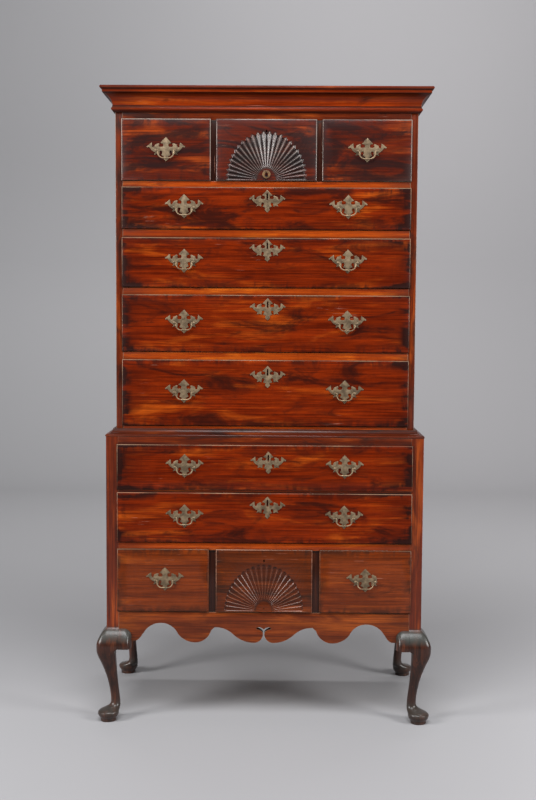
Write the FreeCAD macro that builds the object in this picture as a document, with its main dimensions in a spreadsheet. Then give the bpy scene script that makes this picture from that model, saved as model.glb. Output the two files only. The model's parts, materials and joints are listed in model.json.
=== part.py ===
"""Flat-top high chest of drawers on four cabriole legs, as a parametric FreeCAD document.

Millimetres. +Z is up and the drawers face -Y. The origin is on the floor, under the middle of
the lower case. Every place is an expression of the sizes below, so the same words stand in the
spreadsheet, in the expressions and in this file.
"""
import FreeCAD, Part
import math
import os
import re

import Sketcher
from FreeCAD import Placement, Rotation, Vector

SIZES = {
    # lower case
    "lower_width": 930,
    "lower_depth": 480,
    "skirt_top": 330,            # floor to the openings of the lowest drawers
    "post_width": 35.5,          # square corner post over each leg
    "lower_side": 18,
    "back_thick": 12,
    # openings and rails of the lower case, from the bottom
    "lower_small_opening": 185.5,
    "lower_second_rail": 21.5,
    "lower_second_opening": 146,
    "lower_first_rail": 17,
    "lower_first_opening": 124.5,
    "lower_top_rail": 25.5,
    "lower_divider": 28,
    "lower_divider_centre": 152.6,
    # upper case
    "case_step": 27.5,           # the upper case stands in by this much in front and at its sides
    "upper_side": 21,
    "bottom_rail": 29.5,
    "top_board": 18,
    "frieze_thick": 22,
    # openings and rails of the upper case, from the bottom
    "fourth_opening": 192.5,
    "third_rail": 25,
    "third_opening": 164.5,
    "second_rail": 23,
    "second_opening": 142.5,
    "first_rail": 26,
    "first_opening": 119.5,
    "small_rail": 20,
    "upper_small_opening": 174.5,
    "frieze": 69,
    "upper_divider": 23,
    "upper_divider_centre": 153.4,
    # what carries the drawers
    "rail_depth": 70,
    "runner_width": 25,
    "runner_thick": 16,
    "middle_runner": 66,
    "guide_height": 20,
    "run_gap": 0.3,              # a drawer's sides over their runners
    "guide_gap": 1.0,            # a drawer's sides beside posts, dividers and guides
    # drawers
    "lip_thick": 6.5,
    "lip_round": 4.5,
    "lip_lap": 4,                # the lip covers the case at its sides and top
    "lip_gap": 0.3,              # the closed lip in front of the case
    "under_gap": 1.5,            # below the front of most drawers
    "under_lap": 6.5,            # the first lower drawer covers its rail by this much
    "front_thick": 22,
    "head_gap": 3,               # over the drawer's box
    "box_side": 10,
    "box_back": 10,
    "panel_thick": 7,
    "panel_rise": 8,
    "groove": 4,
    "tail_length": 12,
    "tail_pitch": 42,
    "tail_flare": 2.5,
    "back_room": 27,             # behind the closed drawers
    # brasses
    "upper_pull": 238,           # from the middle of a long drawer to its handles
    "lower_pull": 234,
    "pull_rise": 1.5,            # posts above the middle of the front
    "small_pull_rise": -3,
    "fourth_pull_shift": 5,      # the right one of the fourth drawer sits nearer the middle
    "lower_small_shift": 6.5,    # and so does the left one of the lowest drawers
    "post_spacing": 58,
    "plate_width": 111,
    "plate_over": 38,            # the plate's point above the posts
    "plate_under": 31.5,         # and below them
    "plate_thick": 1.4,
    "broken_wing": 35,           # what is left of one wing
    "key_plate_share": 0.94,     # the key plates' size as a share of the handles' plates
    "shank_radius": 2.4,
    "shank_clear": 0.1,
    "collar_radius": 3.2,
    "head_radius": 4,
    "head_stand": 5,             # from the plate to the middle of the post's head
    "nut_radius": 5.5,
    "nut_thick": 3.5,
    "wire_radius": 1.7,
    "eye_clear": 0.05,
    "bail_clear": 0.3,           # between the posts' heads and the bail's arms
    "bail_bend": 2.2,
    "bail_drop": 21.5,
    "bail_corner": 15,
    "bail_flat": 10,             # half the straight stretch at the bail's foot
    "bail_arm": 8.5,             # the straight stretch below each eye
    "pin_reach": 2,              # the bail's ends beyond the middle of the heads
    "keyhole_half": 2.4,
    "keyhole_drop": 17,
    "fan_keyhole_drop": 8,
    "first_key": 27.5,           # keyholes' middles below the top of each lip
    "second_key": 23.5,
    "third_key": 28.5,
    "fourth_key": 36.5,
    "lower_first_key": 38.5,
    "lower_second_key": 29.5,
    "upper_fan_key": 35,
    "lower_fan_key": 34,
    "first_key_side": 3,         # and beside the middle of each drawer
    "second_key_side": 4,
    "third_key_side": 6,
    "fourth_key_side": 7,
    "lower_first_key_side": 11,
    "lower_second_key_side": 9,
    "key_over": 16.5,            # the keyhole above the middle of its plate
    "lock_drop": 6,              # the middle of the lock below its keyhole
    "lock_width": 52,
    "lock_height": 38,
    "lock_thick": 9,
    "rosette_radius": 11.5,
    "rosette_hole": 5,
    "rosette_thick": 3,
    "rosette_rise": 18.5,        # above the lower edge of the fan front
    # cornice, as distances from the case and heights one above the other
    "bead_foot": 5,
    "bead_out": 8.5,
    "bead_height": 9,
    "bead_flat": 0.5,            # the bead's radius is more than half its height
    "cove_foot_rise": 6,
    "cove_foot_out": 7.5,
    "cove_height": 33,
    "cove_top_out": 34,
    "cove_radius": 34,
    "band_height": 9,
    "band_step": 3,
    "nose_step": 3.5,
    "nose_slope": 4,
    "nose_height": 6,
    "nose_round": 4.5,
    "cornice_rise": 6,           # the cornice's top above the top board
    # waist moulding
    "waist_height": 22.5,
    "waist_lap": 0.5,            # outside the lower case's faces
    "waist_nose": 6,
    "waist_step": 3,             # the cove's foot in from the nose
    "waist_step_rise": 1.5,
    "waist_ledge": 8.5,
    "waist_round": 4,
    "waist_radius": 16,
    # skirt: drops are below the openings of the lowest drawers, rises above the lobes' feet,
    # and the outer lobe and the arch are measured across from the arch's middle
    "skirt_thick": 20,
    "lobe_drop": 92,             # to the foot of every lobe
    "tip_drop": 88.5,            # to the skirt's ends
    "wing_drop": 45,
    "wing_notch": 6.5,           # where the two wings meet, below their tops
    "wing_inner_radius": 24,
    "wing_crest": 12,
    "wing_outer_radius": 14,
    "wing_reach": 21,
    "wing_shoulder": 2,
    "wing_end": 3.5,
    "wing_end_in": 1,
    "wing_end_radius": 2.2,
    "wing_under_radius": 22,
    "slit_half": 2,
    "slit_drop": 61,
    "slit_rise": 22,
    "inner_lobe_radius": 28,
    "inner_lobe_foot": 28,
    "inner_lobe_sweep": 90,
    "inner_lobe_side": 91,
    "inner_lobe_rise": 26,
    "cusp_radius": 74,
    "cusp_centre": 145,
    "cusp_drop": 46,
    "outer_lobe_side": 149,
    "outer_lobe_rise": 37,
    "outer_lobe_radius": 50,
    "outer_lobe_foot": 101,
    "outer_lobe_sweep": 64,
    "outer_lobe_end": 50.5,
    "outer_lobe_end_rise": 25,
    "arch_centre": 304,
    "arch_drop": 34,
    "arch_inner_radius": 55,
    "arch_outer_radius": 59,
    "arch_side": 52,
    "arch_side_drop": 31,
    "arch_nick": 3,
    "arch_end": 74,
    "arch_end_radius": 40,
    "apron_flat": 70,            # low stretch at each end of a side apron
    "back_drop": 68,             # to the foot of the lower back board
    # legs: how far each section reaches out of the case and into it; the knee's sections hang
    # one below the other from the skirt's top, and the foot's stand one on the other
    "leg_top_drop": 51,
    "brow_drop": 16,
    "brow_out": 14,
    "knee_drop": 31,
    "knee_out": 29.5,
    "knee_clear": 0.7,           # between the knee and the planes of the skirt's ends
    "calf_drop": 51,
    "calf_out": 18.5,
    "calf_clear": 7,
    "shin_rise": 55,
    "shin_out": 1.5,
    "shin_in": 29.5,
    "ankle_rise": 28,
    "ankle_out": -8.5,
    "ankle_in": 35.5,
    "instep_rise": 16,
    "instep_out": -5.5,
    "instep_in": 37,
    "toe_height": 28,
    "toe_out": 15,
    "toe_in": 32.5,
    "foot_radius": 31.2,
    "foot_inset": 3.6,
    "foot_middle": 22,
    "foot_top": 36,
    "foot_crown": 20,
    "under_foot_radius": 26.4,
    "platform_radius": 23.3,
    "platform_height": 8,
    "block_length": 38,          # knee blocks
    "block_drop": 7,             # their foot below the knee
    "block_brow": 12.5,
    "block_curve": 38,
    "block_undercut": 1,
    "block_out": 23.5,
    "block_round": 9,
}

doc = FreeCAD.newDocument("high_chest")
sheet = doc.addObject("Spreadsheet::Sheet", "Sizes")
for row, (alias, number) in enumerate(SIZES.items(), start=1):
    sheet.set(f"A{row}", alias)
    sheet.set(f"B{row}", str(number))
    sheet.setAlias(f"B{row}", alias)
doc.recompute()

nodes = []


# ---------------------------------------------------------------- words to expressions

def sized(words):
    """An expression with every size in it written as its cell in the spreadsheet."""
    return re.sub(r"[a-z_]+", lambda found: cell_name(found.group(0)), words)


def cell_name(word):
    return f"Sizes.{word}" if word in SIZES else word


def value(words):
    """What an expression is worth now."""
    return float(sheet.evalExpression(sized(words)))


def bind(thing, slot, words):
    thing.setExpression(slot, sized(words))


def stack(start, *steps):
    """Levels one above the other: the start, then the start with each step added in turn."""
    levels = [start]
    for step in steps:
        levels.append(f"{levels[-1]} + {step}")
    return levels


def place(thing, x="0", y="0", z="0"):
    for axis, words in zip("xyz", (x, y, z)):
        bind(thing, f"Placement.Base.{axis}", words)
    return thing


# ---------------------------------------------------------------- primitives and groups

def box(x, y, z):
    """A board between a low and a high expression along each axis."""
    board = doc.addObject("Part::Box", "board")
    for slot, (low, high) in zip(("Length", "Width", "Height"), (x, y, z)):
        bind(board, slot, f"({high}) - ({low})")
    return place(board, x[0], y[0], z[0])


def rod(radius, low, high, x="0", y="0", z="0", along="Y"):
    """A round rod along Y or X, from low to high on that axis."""
    bar = doc.addObject("Part::Cylinder", "rod")
    bind(bar, "Radius", radius)
    bind(bar, "Height", f"({high}) - ({low})")
    turn = Rotation(Vector(1, 0, 0), -90) if along == "Y" else Rotation(Vector(0, 1, 0), 90)
    bar.Placement = Placement(Vector(), turn)
    start = {"Y": (x, low, z), "X": (low, y, z)}[along]
    return place(bar, *start)


def cut(base, *tools):
    """The base without the tools' shapes."""
    left = doc.addObject("Part::Cut", "cut")
    left.Base = base
    left.Tool = tools[0] if len(tools) == 1 else bunch(tools)
    return left


def fuse(*pieces):
    whole = doc.addObject("Part::MultiFuse", "whole")
    whole.Shapes = list(pieces)
    return whole


def bunch(pieces):
    held = doc.addObject("Part::Compound", "bunch")
    held.Links = list(pieces)
    return held


def copy(source, x="0", y="0", z="0", turn=0):
    """The same piece again somewhere else, turned about +Z by a number of degrees."""
    link = doc.addObject("App::Link", "copy")
    link.LinkedObject = source
    link.Placement = Placement(Vector(), Rotation(Vector(0, 0, 1), turn))
    return place(link, x, y, z)


def mirrored(source, normal):
    twin = doc.addObject("Part::Mirroring", "twin")
    twin.Source = source
    twin.Normal = normal
    return twin


def node(label, pieces):
    """One sub-part, written to a file of its own."""
    whole = bunch(pieces)
    whole.Label = label
    nodes.append(whole)
    return whole


# ---------------------------------------------------------------- sketches and bodies

def new_body():
    return doc.addObject("PartDesign::Body", "body")


def sketch(body, role, across="0", up="0", off="0"):
    """A sketch on one of the body's own planes, moved within it and off it."""
    flat = body.newObject("Sketcher::SketchObject", "sketch")
    plane = next(face for face in body.Origin.OriginFeatures if face.Role == role)
    flat.AttachmentSupport = (plane, [""])
    flat.MapMode = "FlatFace"
    for axis, words in zip("xyz", (across, up, off)):
        bind(flat, f"AttachmentOffset.Base.{axis}", words)
    return flat


def edge(start, end, radius):
    """A straight edge, or an arc that bulges right of its way for a positive radius."""
    if not radius:
        return Part.LineSegment(start, end)
    way = end - start
    left = Vector(-way.y, way.x, 0).normalize() * math.copysign(1, radius)
    centre = (start + end) / 2 + left * math.sqrt(radius ** 2 - (way.Length / 2) ** 2)
    return Part.Arc(start, centre - left * abs(radius), end)


def outline(flat, corners, closed=True):
    """Lines and arcs through corners (across, up) or (across, up, radius of the next arc)."""
    spots = [Vector(value(corner[0]), value(corner[1]), 0) for corner in corners]
    count = len(corners)
    edges = []
    for index in range(count if closed else count - 1):
        start, end = spots[index], spots[(index + 1) % count]
        radius = value(corners[index][2]) if len(corners[index]) == 3 else 0
        drawn = flat.addGeometry(edge(start, end, radius), False)
        forward = (flat.getPoint(drawn, 1) - start).Length < (flat.getPoint(drawn, 1) - end).Length
        edges.append((drawn, (1, 2) if forward else (2, 1)))
    for (first, ends), (second, starts) in zip(edges, edges[1:] + edges[:1] if closed else edges[1:]):
        flat.addConstraint(Sketcher.Constraint("Coincident", first, ends[1], second, starts[0]))
    for index, corner in enumerate(corners):
        drawn, ends = edges[min(index, len(edges) - 1)]
        spot = ends[0] if index < len(edges) else ends[1]
        pin(flat, "DistanceX", (drawn, spot), corner[0])
        pin(flat, "DistanceY", (drawn, spot), corner[1])
        if len(corner) == 3 and index < len(edges):
            rule = flat.addConstraint(Sketcher.Constraint("Radius", drawn, abs(value(corner[2]))))
            bind(flat, f"Constraints[{rule}]", f"abs({corner[2]})")


def pin(flat, kind, spot, words):
    """Holds one point of a sketch at a distance from the sketch's origin."""
    rule = flat.addConstraint(Sketcher.Constraint(kind, -1, 1, spot[0], spot[1], value(words)))
    bind(flat, f"Constraints[{rule}]", words)


def circle(flat, across, up, radius):
    middle = Vector(value(across), value(up), 0)
    drawn = flat.addGeometry(Part.Circle(middle, Vector(0, 0, 1), value(radius)), False)
    pin(flat, "DistanceX", (drawn, 3), across)
    pin(flat, "DistanceY", (drawn, 3), up)
    rule = flat.addConstraint(Sketcher.Constraint("Radius", drawn, value(radius)))
    bind(flat, f"Constraints[{rule}]", radius)


def oblong(flat, across, up):
    """A rectangle between a low and a high expression each way."""
    (left, right), (low, high) = across, up
    outline(flat, [(left, low), (right, low), (right, high), (left, high)])


def pad(body, flat, length, backwards=False, centred=False):
    block = body.newObject("PartDesign::Pad", "pad")
    block.Profile = flat
    bind(block, "Length", length)
    block.Reversed = backwards
    block.SideType = "Symmetric" if centred else "One side"
    return block


def pierce(body, flat):
    """Takes the sketch's shape out of the body, all the way through both ways."""
    hole = body.newObject("PartDesign::Pocket", "pocket")
    hole.Profile = flat
    hole.SideType = "Symmetric"
    hole.Type = "ThroughAll"
    return hole


def mirror_corners(half):
    """An outline of both halves from the corners of one, which runs from axis to axis.

    The far half is walked the other way, so each arc's radius moves to its other end.
    """
    radii = [corner[2] if len(corner) == 3 else None for corner in half]
    far = []
    for index in range(len(half) - 2, 0, -1):
        across, up = half[index][:2]
        far.append((f"-({across})", up, radii[index - 1]))
    whole = list(half[:-1]) + [(half[-1][0], half[-1][1], radii[-2])] + far
    return [corner[:2] if len(corner) == 3 and corner[2] is None else corner for corner in whole]


# ---------------------------------------------------------------- planes and levels

LOWER_FRONT = "-lower_depth / 2"
UPPER_FRONT = "-lower_depth / 2 + case_step"
BACK = "lower_depth / 2"
INNER_BACK = "lower_depth / 2 - back_thick"
LOWER_LEVELS = stack("skirt_top", "lower_small_opening", "lower_second_rail", "lower_second_opening",
                     "lower_first_rail", "lower_first_opening", "lower_top_rail")
UPPER_LEVELS = stack(LOWER_LEVELS[-1], "bottom_rail", "fourth_opening", "third_rail",
                     "third_opening", "second_rail", "second_opening", "first_rail",
                     "first_opening", "small_rail", "upper_small_opening", "frieze", "top_board")
WAIST = LOWER_LEVELS[-1]
LOWER_OPEN = "lower_width / 2 - post_width"
UPPER_HALF = "lower_width / 2 - case_step"
UPPER_OPEN = f"{UPPER_HALF} - upper_side"
LOWER_INSIDE = "lower_width / 2 - lower_side"
CORNICE_TOP = f"{UPPER_LEVELS[-1]} + cornice_rise"
BAIL_HALF = "(post_spacing / 2 - head_radius - wire_radius - bail_clear)"

# levels of the skirt's shape and of the legs' sections
LOBE_FOOT = "skirt_top - lobe_drop"
TIP = "skirt_top - tip_drop"
ARCH_TOP = "skirt_top - arch_drop"
WING_TOP = "skirt_top - wing_drop"
LEG_TOP = "skirt_top - leg_top_drop"
BROW = f"{LEG_TOP} - brow_drop"
KNEE = f"{BROW} - knee_drop"
CALF = f"{KNEE} - calf_drop"
TOE, INSTEP, ANKLE, SHIN = stack("toe_height", "instep_rise", "ankle_rise", "shin_rise")

# each case: front plane, half opening, half inside, divider and its centre
CASES = {
    "lower": (LOWER_FRONT, LOWER_OPEN, LOWER_INSIDE, "lower_divider", "lower_divider_centre"),
    "upper": (UPPER_FRONT, UPPER_OPEN, UPPER_OPEN, "upper_divider", "upper_divider_centre"),
}


def both(half):
    """From minus a half width to plus it."""
    return f"-({half})", half


# ---------------------------------------------------------------- case boards and mouldings

def upper_boards():
    """Two sides, a top, a bottom and three wide boards behind."""
    half = UPPER_HALF
    deep = (UPPER_FRONT, BACK)
    tall = (WAIST, UPPER_LEVELS[-2])
    inner_floor = (f"{UPPER_FRONT} + rail_depth", INNER_BACK)
    third = f"(({tall[1]}) - ({tall[0]})) / 3"
    joints = [tall[0], f"{tall[0]} + {third}", f"{tall[0]} + {third} * 2", tall[1]]
    behind = [box(both(UPPER_OPEN), (INNER_BACK, BACK), pair) for pair in zip(joints, joints[1:])]
    node("upper_case_boards", [
        box((f"-({half})", f"-({UPPER_OPEN})"), deep, tall),
        box((UPPER_OPEN, half), deep, tall),
        box(both(half), deep, (UPPER_LEVELS[-2], UPPER_LEVELS[-1])),
        box(both(UPPER_OPEN), inner_floor, (WAIST, f"{WAIST} + bottom_rail - runner_thick")),
        *behind,
    ])


def side_apron(sign):
    """A lower side board, with a low arch between its two flat ends."""
    body = new_body()
    face = "lower_width / 2" if sign > 0 else "-(lower_width / 2 - lower_side)"
    flat = sketch(body, "YZ_Plane", off=face)
    front, rear = f"{LOWER_FRONT} + post_width", f"{BACK} - post_width"
    outline(flat, [
        (front, TIP),
        (f"{front} + apron_flat", TIP),
        (f"{front} + apron_flat * 1.7", ARCH_TOP),
        (f"{rear} - apron_flat * 1.7", ARCH_TOP),
        (f"{rear} - apron_flat", TIP),
        (rear, TIP),
        (rear, WAIST),
        (front, WAIST),
    ])
    pad(body, flat, "lower_side", backwards=True)
    return body


def lower_boards():
    """Two sides and a back, between the posts."""
    back = box(both(LOWER_OPEN), (INNER_BACK, BACK), ("skirt_top - back_drop", WAIST))
    node("lower_case_boards", [side_apron(-1), side_apron(1), back])


def moulding(label, profile, low, out):
    """A moulding round the front and both sides of the upper case, mitred at the corners.

    The profile is (distance from the case, height over the moulding's lower edge), and out is
    its furthest distance.
    """
    half = UPPER_HALF
    far = f"({out}) * 1.1"
    front = new_body()
    flat = sketch(front, "YZ_Plane")
    outline(flat, [(f"{UPPER_FRONT} - ({point[0]})", f"{low} + {point[1]}",
                    *(f"-({radius})" for radius in point[2:])) for point in profile])
    pad(front, flat, f"2 * ({half} + {out})", centred=True)
    for sign in ("", "-"):
        mitre = sketch(front, "XY_Plane")
        outline(mitre, [
            (f"{sign}({half})", UPPER_FRONT),
            (f"{sign}({half} + {far})", f"{UPPER_FRONT} - ({far})"),
            (f"{sign}({half} + {far})", UPPER_FRONT),
        ])
        pierce(front, mitre)
    side = new_body()
    flat = sketch(side, "XZ_Plane", off=f"-({BACK})")
    outline(flat, [(f"{half} + {point[0]}", f"{low} + {point[1]}", *point[2:]) for point in profile])
    pad(side, flat, f"lower_depth - case_step + {out}")
    mitre = sketch(side, "XY_Plane")
    outline(mitre, [
        (half, UPPER_FRONT),
        (half, f"{UPPER_FRONT} - ({far})"),
        (f"{half} + {far}", f"{UPPER_FRONT} - ({far})"),
    ])
    pierce(side, mitre)
    node(label, [front, side, mirrored(side, (1, 0, 0))])


def mouldings():
    bead_low, bead_high, cove_foot, cove_top, nose_low, nose_high, top = stack(
        "bead_foot", "bead_height", "cove_foot_rise", "cove_height", "band_height", "nose_slope",
        "nose_height")
    nose_out = "cove_top_out + band_step + nose_step"
    moulding("cornice_moulding", [
        ("0", "0"),
        ("bead_foot", "0"),
        ("bead_out", bead_low, "bead_height / 2 + bead_flat"),
        ("bead_out", bead_high),
        ("cove_foot_out", cove_foot, "-cove_radius"),
        ("cove_top_out", cove_top),
        ("cove_top_out", nose_low),
        ("cove_top_out + band_step", nose_low),
        (nose_out, nose_high),
        (nose_out, f"{top} - nose_round", "nose_round"),
        (f"{nose_out} - nose_round", top),
        ("0", top),
    ], f"{CORNICE_TOP} - ({top})", nose_out)
    waist_out = "case_step + waist_lap"
    moulding("waist_moulding", [
        ("0", "0"),
        (waist_out, "0", "waist_round"),
        (waist_out, "waist_nose"),
        (f"{waist_out} - waist_step", "waist_nose + waist_step_rise", "-waist_radius"),
        ("waist_ledge", "waist_height"),
        ("0", "waist_height"),
    ], WAIST, waist_out)


def rail_set(case, rails, small, extra):
    """Rails across a case, the runners behind them, and the dividers of its small drawers.

    rails are (low, high) levels of the rails that carry drawers; small is the (low, high) of the
    small drawers' openings; extra holds the rails that carry none.
    """
    front, half, inside, divider, centre = CASES[case]
    rail_back = f"{front} + rail_depth"
    behind = (rail_back, INNER_BACK)
    between_posts = (f"{front} + post_width", f"{BACK} - post_width")
    pieces = [*extra, *(box(both(half), (front, rail_back), rail) for rail in rails)]
    for floor in [high for _, high in rails] + ([small[0]] if case == "lower" else []):
        across = (f"{half} - runner_width", half)
        runner = box(across, behind, (f"{floor} - runner_thick", floor))
        pieces += [runner, mirrored(runner, (1, 0, 0))]
        if case == "lower":
            levels = (f"{floor} - runner_thick", f"{floor} + guide_height")
            guide = box((half, inside), between_posts, levels)
            pieces += [guide, mirrored(guide, (1, 0, 0))]
    for sign in ("", "-"):
        middle = f"{sign}{centre}"
        upright = (f"{middle} - {divider} / 2", f"{middle} + {divider} / 2")
        pieces.append(box(upright, (front, rail_back), small))
        pieces.append(box(upright, behind, (small[0], f"{small[0]} + guide_height")))
        wide = (f"{middle} - middle_runner / 2", f"{middle} + middle_runner / 2")
        pieces.append(box(wide, behind, (f"{small[0]} - runner_thick", small[0])))
    node(f"{case}_rails_and_runners", pieces)


def rails():
    lower, upper = LOWER_LEVELS, UPPER_LEVELS
    top_rail = box(both(LOWER_OPEN), (LOWER_FRONT, f"{LOWER_FRONT} + rail_depth"), (lower[5], lower[6]))
    under_rail = box(both(LOWER_OPEN), (f"{LOWER_FRONT} + skirt_thick", f"{LOWER_FRONT} + rail_depth"),
                     (f"{lower[0]} - lower_first_rail", lower[0]))
    rail_set("lower", [(lower[1], lower[2]), (lower[3], lower[4])], (lower[0], lower[1]),
             [top_rail, under_rail])
    frieze = box(both(UPPER_OPEN), (UPPER_FRONT, f"{UPPER_FRONT} + frieze_thick"), (upper[10], upper[11]))
    levels = [(upper[low], upper[low + 1]) for low in (0, 2, 4, 6, 8)]
    rail_set("upper", levels, (upper[9], upper[10]), [frieze])


# ---------------------------------------------------------------- skirt and legs

def skirt():
    """The front apron: lobes, arches, and the slit that opens into two small wings."""
    body = new_body()
    flat = sketch(body, "XZ_Plane", off=f"-({LOWER_FRONT})")
    half = [
        ("0", f"{WING_TOP} - wing_notch", "-wing_inner_radius"),
        ("wing_crest", WING_TOP, "-wing_outer_radius"),
        ("wing_reach", f"{WING_TOP} - wing_shoulder", "-wing_end_radius"),
        ("wing_reach - wing_end_in", f"{WING_TOP} - wing_shoulder - wing_end", "wing_under_radius"),
        ("slit_half", "skirt_top - slit_drop"),
        ("slit_half", f"{LOBE_FOOT} + slit_rise", "inner_lobe_radius"),
        ("inner_lobe_foot", LOBE_FOOT, "inner_lobe_sweep"),
        ("inner_lobe_side", f"{LOBE_FOOT} + inner_lobe_rise", "-cusp_radius"),
        ("cusp_centre", "skirt_top - cusp_drop"),
        ("arch_centre - outer_lobe_side", f"{LOBE_FOOT} + outer_lobe_rise", "outer_lobe_radius"),
        ("arch_centre - outer_lobe_foot", LOBE_FOOT, "outer_lobe_sweep"),
        ("arch_centre - outer_lobe_end", f"{LOBE_FOOT} + outer_lobe_end_rise", "-arch_inner_radius"),
        ("arch_centre", ARCH_TOP, "-arch_outer_radius"),
        ("arch_centre + arch_side", f"{ARCH_TOP} - arch_side_drop"),
        ("arch_centre + arch_side + arch_nick", f"{ARCH_TOP} - arch_side_drop - arch_nick",
         "arch_end_radius"),
        ("arch_centre + arch_end", TIP),
        (LOWER_OPEN, TIP),
        (LOWER_OPEN, "skirt_top"),
        ("0", "skirt_top"),
    ]
    outline(flat, mirror_corners(half))
    pad(body, flat, "skirt_thick", backwards=True)
    node("skirt", [body])


LEG_SECTIONS = [
    # level, reach out of the case's faces, reach into the case, and how much of the section's
    # width each rounded corner takes
    (LEG_TOP, "0", "post_width", 0.04),
    (BROW, "brow_out", "post_width - knee_clear", 0.14),
    (KNEE, "knee_out", "post_width - knee_clear", 0.2),
    (CALF, "calf_out", "post_width - calf_clear", 0.28),
    (SHIN, "shin_out", "shin_in", 0.4),
    (ANKLE, "ankle_out", "ankle_in", 0.46),
    (INSTEP, "instep_out", "instep_in", 0.45),
    (TOE, "toe_out", "toe_in", 0.46),
]


def leg():
    """A leg and its post: x and y run into the case from the corner of its two faces."""
    body = new_body()
    sections = []
    for level, out, reach, share in LEG_SECTIONS:
        flat = sketch(body, "XY_Plane", off=level)
        low, high, bend = f"-({out})", reach, f"({reach} + {out}) * {share}"
        outline(flat, [
            (f"{low} + {bend}", low), (f"{high} - {bend}", low, bend),
            (high, f"{low} + {bend}"), (high, f"{high} - {bend}", bend),
            (f"{high} - {bend}", high), (f"{low} + {bend}", high, bend),
            (low, f"{high} - {bend}"), (low, f"{low} + {bend}", bend),
        ])
        sections.append(flat)
    loft = body.newObject("PartDesign::AdditiveLoft", "loft")
    loft.Profile = sections[0]
    loft.Sections = sections[1:]
    post = sketch(body, "XY_Plane", off=LEG_TOP)
    oblong(post, ("0", "post_width"), ("0", "post_width"))
    pad(body, post, f"{WAIST} - ({LEG_TOP})")
    foot = sketch(body, "XZ_Plane", across="foot_inset", off="-foot_inset")
    outline(foot, [
        ("0", "0"),
        ("platform_radius", "0"),
        ("platform_radius", "platform_height", "under_foot_radius"),
        ("foot_radius", "foot_middle", "foot_top - foot_middle"),
        ("foot_crown", "foot_top"),
        ("0", "foot_top"),
    ])
    turned = body.newObject("PartDesign::Revolution", "foot")
    turned.Profile = foot
    turned.ReferenceAxis = (foot, ["V_Axis"])
    turned.Angle = 360
    return body


def knee_block():
    """The block that carries the front's knee curve on beside the leg, in the leg's own frame."""
    body = new_body()
    flat = sketch(body, "YZ_Plane", off="post_width")
    outline(flat, [
        ("0", f"{KNEE} - block_drop"),
        ("0", LEG_TOP),
        ("-block_brow", BROW, "block_curve"),
        ("-block_out", KNEE),
        ("-block_out + block_undercut", f"{KNEE} - block_drop"),
    ])
    block = pad(body, flat, "block_length")
    doc.recompute()
    end = value("post_width + block_length")
    rounded = body.newObject("PartDesign::Fillet", "fillet")
    rounded.Base = (block, edges_at(block, lambda spot: abs(spot.x - end) < 0.01 and spot.y < -0.5))
    bind(rounded, "Radius", "block_round")
    return body


def edges_at(feature, wanted):
    """Names of the edges whose middle point is wanted."""
    names = []
    for index, side in enumerate(feature.Shape.Edges, start=1):
        middle = side.valueAt((side.FirstParameter + side.LastParameter) / 2)
        if wanted(middle):
            names.append(f"Edge{index}")
    return names


def legs():
    """Four legs alike, each turned to its corner, with the knee blocks beside them."""
    one = leg()
    front_block = knee_block()
    side_block = mirrored(front_block, (1, -1, 0))
    half = "lower_width / 2"
    corners = [
        (f"-{half}", LOWER_FRONT, 0, (front_block, side_block)),
        (half, LOWER_FRONT, 90, (front_block, side_block)),
        (half, BACK, 180, (side_block,)),
        (f"-{half}", BACK, 270, (front_block,)),
    ]
    pieces = []
    for x, y, turn, blocks in corners:
        pieces += [copy(piece, x, y, turn=turn) for piece in (one, *blocks)]
    node("legs_and_knee_blocks", pieces)


# ---------------------------------------------------------------- brasses

# right half of a plate, from the upper point to the lower: shares of its half width and of its
# height over and under the posts, and the radius of the next arc as a share of its width
HEAD = [
    (0.00, 1.00), (0.29, 0.56), (0.165, 0.51, 0.054), (0.165, 0.27), (0.30, 0.26, 0.035),
    (0.35, 0.42), (0.335, 0.50), (0.39, 0.54), (0.57, 0.42),
]
WING = [
    (0.60, 0.27, 0.0325), (0.715, 0.27), (0.735, 0.59), (1.00, 0.30), (0.975, 0.215), (0.87, 0.255),
    (0.77, 0.06), (0.67, -0.07), (0.575, -0.16),
]
FOOT = [
    (0.56, -0.24), (0.61, -0.41), (0.48, -0.32), (0.34, -0.43), (0.33, -0.10, 0.04), (0.185, -0.10),
    (0.185, -0.22), (0.25, -0.42), (0.10, -0.52), (0.14, -0.74), (0.00, -1.00),
]


def plate_corners(half, size="1"):
    """Corners of a plate's right half, from shares of the plate's size."""
    corners = []
    for across, up, *bend in half:
        height = "plate_over" if up > 0 else "plate_under"
        corners.append((f"{across} * plate_width / 2 * {size}", f"{up} * {height} * {size}",
                        *(f"{share} * plate_width * {size}" for share in bend)))
    return corners


def batwing(broken=False, keyhole=False):
    """A pierced plate with its back at y 0; its posts, or its middle, are at the origin's height."""
    size = "key_plate_share" if keyhole else "1"
    corners = mirror_corners(plate_corners(HEAD + WING + FOOT, size))
    if broken:
        stump = [("broken_wing - 3", "plate_over * 0.38"), ("broken_wing", "0"),
                 ("broken_wing - 2.5", "-plate_under * 0.16")]
        left = corners[len(HEAD + WING + FOOT):]
        corners = plate_corners(HEAD) + stump + plate_corners(FOOT) + left
    body = new_body()
    flat = sketch(body, "XZ_Plane")
    outline(flat, corners)
    pad(body, flat, "plate_thick")
    holes = sketch(body, "XZ_Plane")
    if keyhole:
        key_slot(holes, "0", "key_over", "keyhole_drop")
    else:
        for sign in ("-", ""):
            circle(holes, f"{sign}post_spacing / 2", "0", "shank_radius + shank_clear")
    pierce(body, holes)
    return body


def key_slot(flat, across, up, drop):
    """A keyhole: a narrow slot with a rounded foot and head."""
    left, right = f"{across} - keyhole_half", f"{across} + keyhole_half"
    low, high = f"{up} - {drop} / 2", f"{up} + {drop} / 2"
    bend = "keyhole_half * 1.1"
    outline(flat, [(left, low, bend), (right, low), (right, high, bend), (left, high)])


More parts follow.
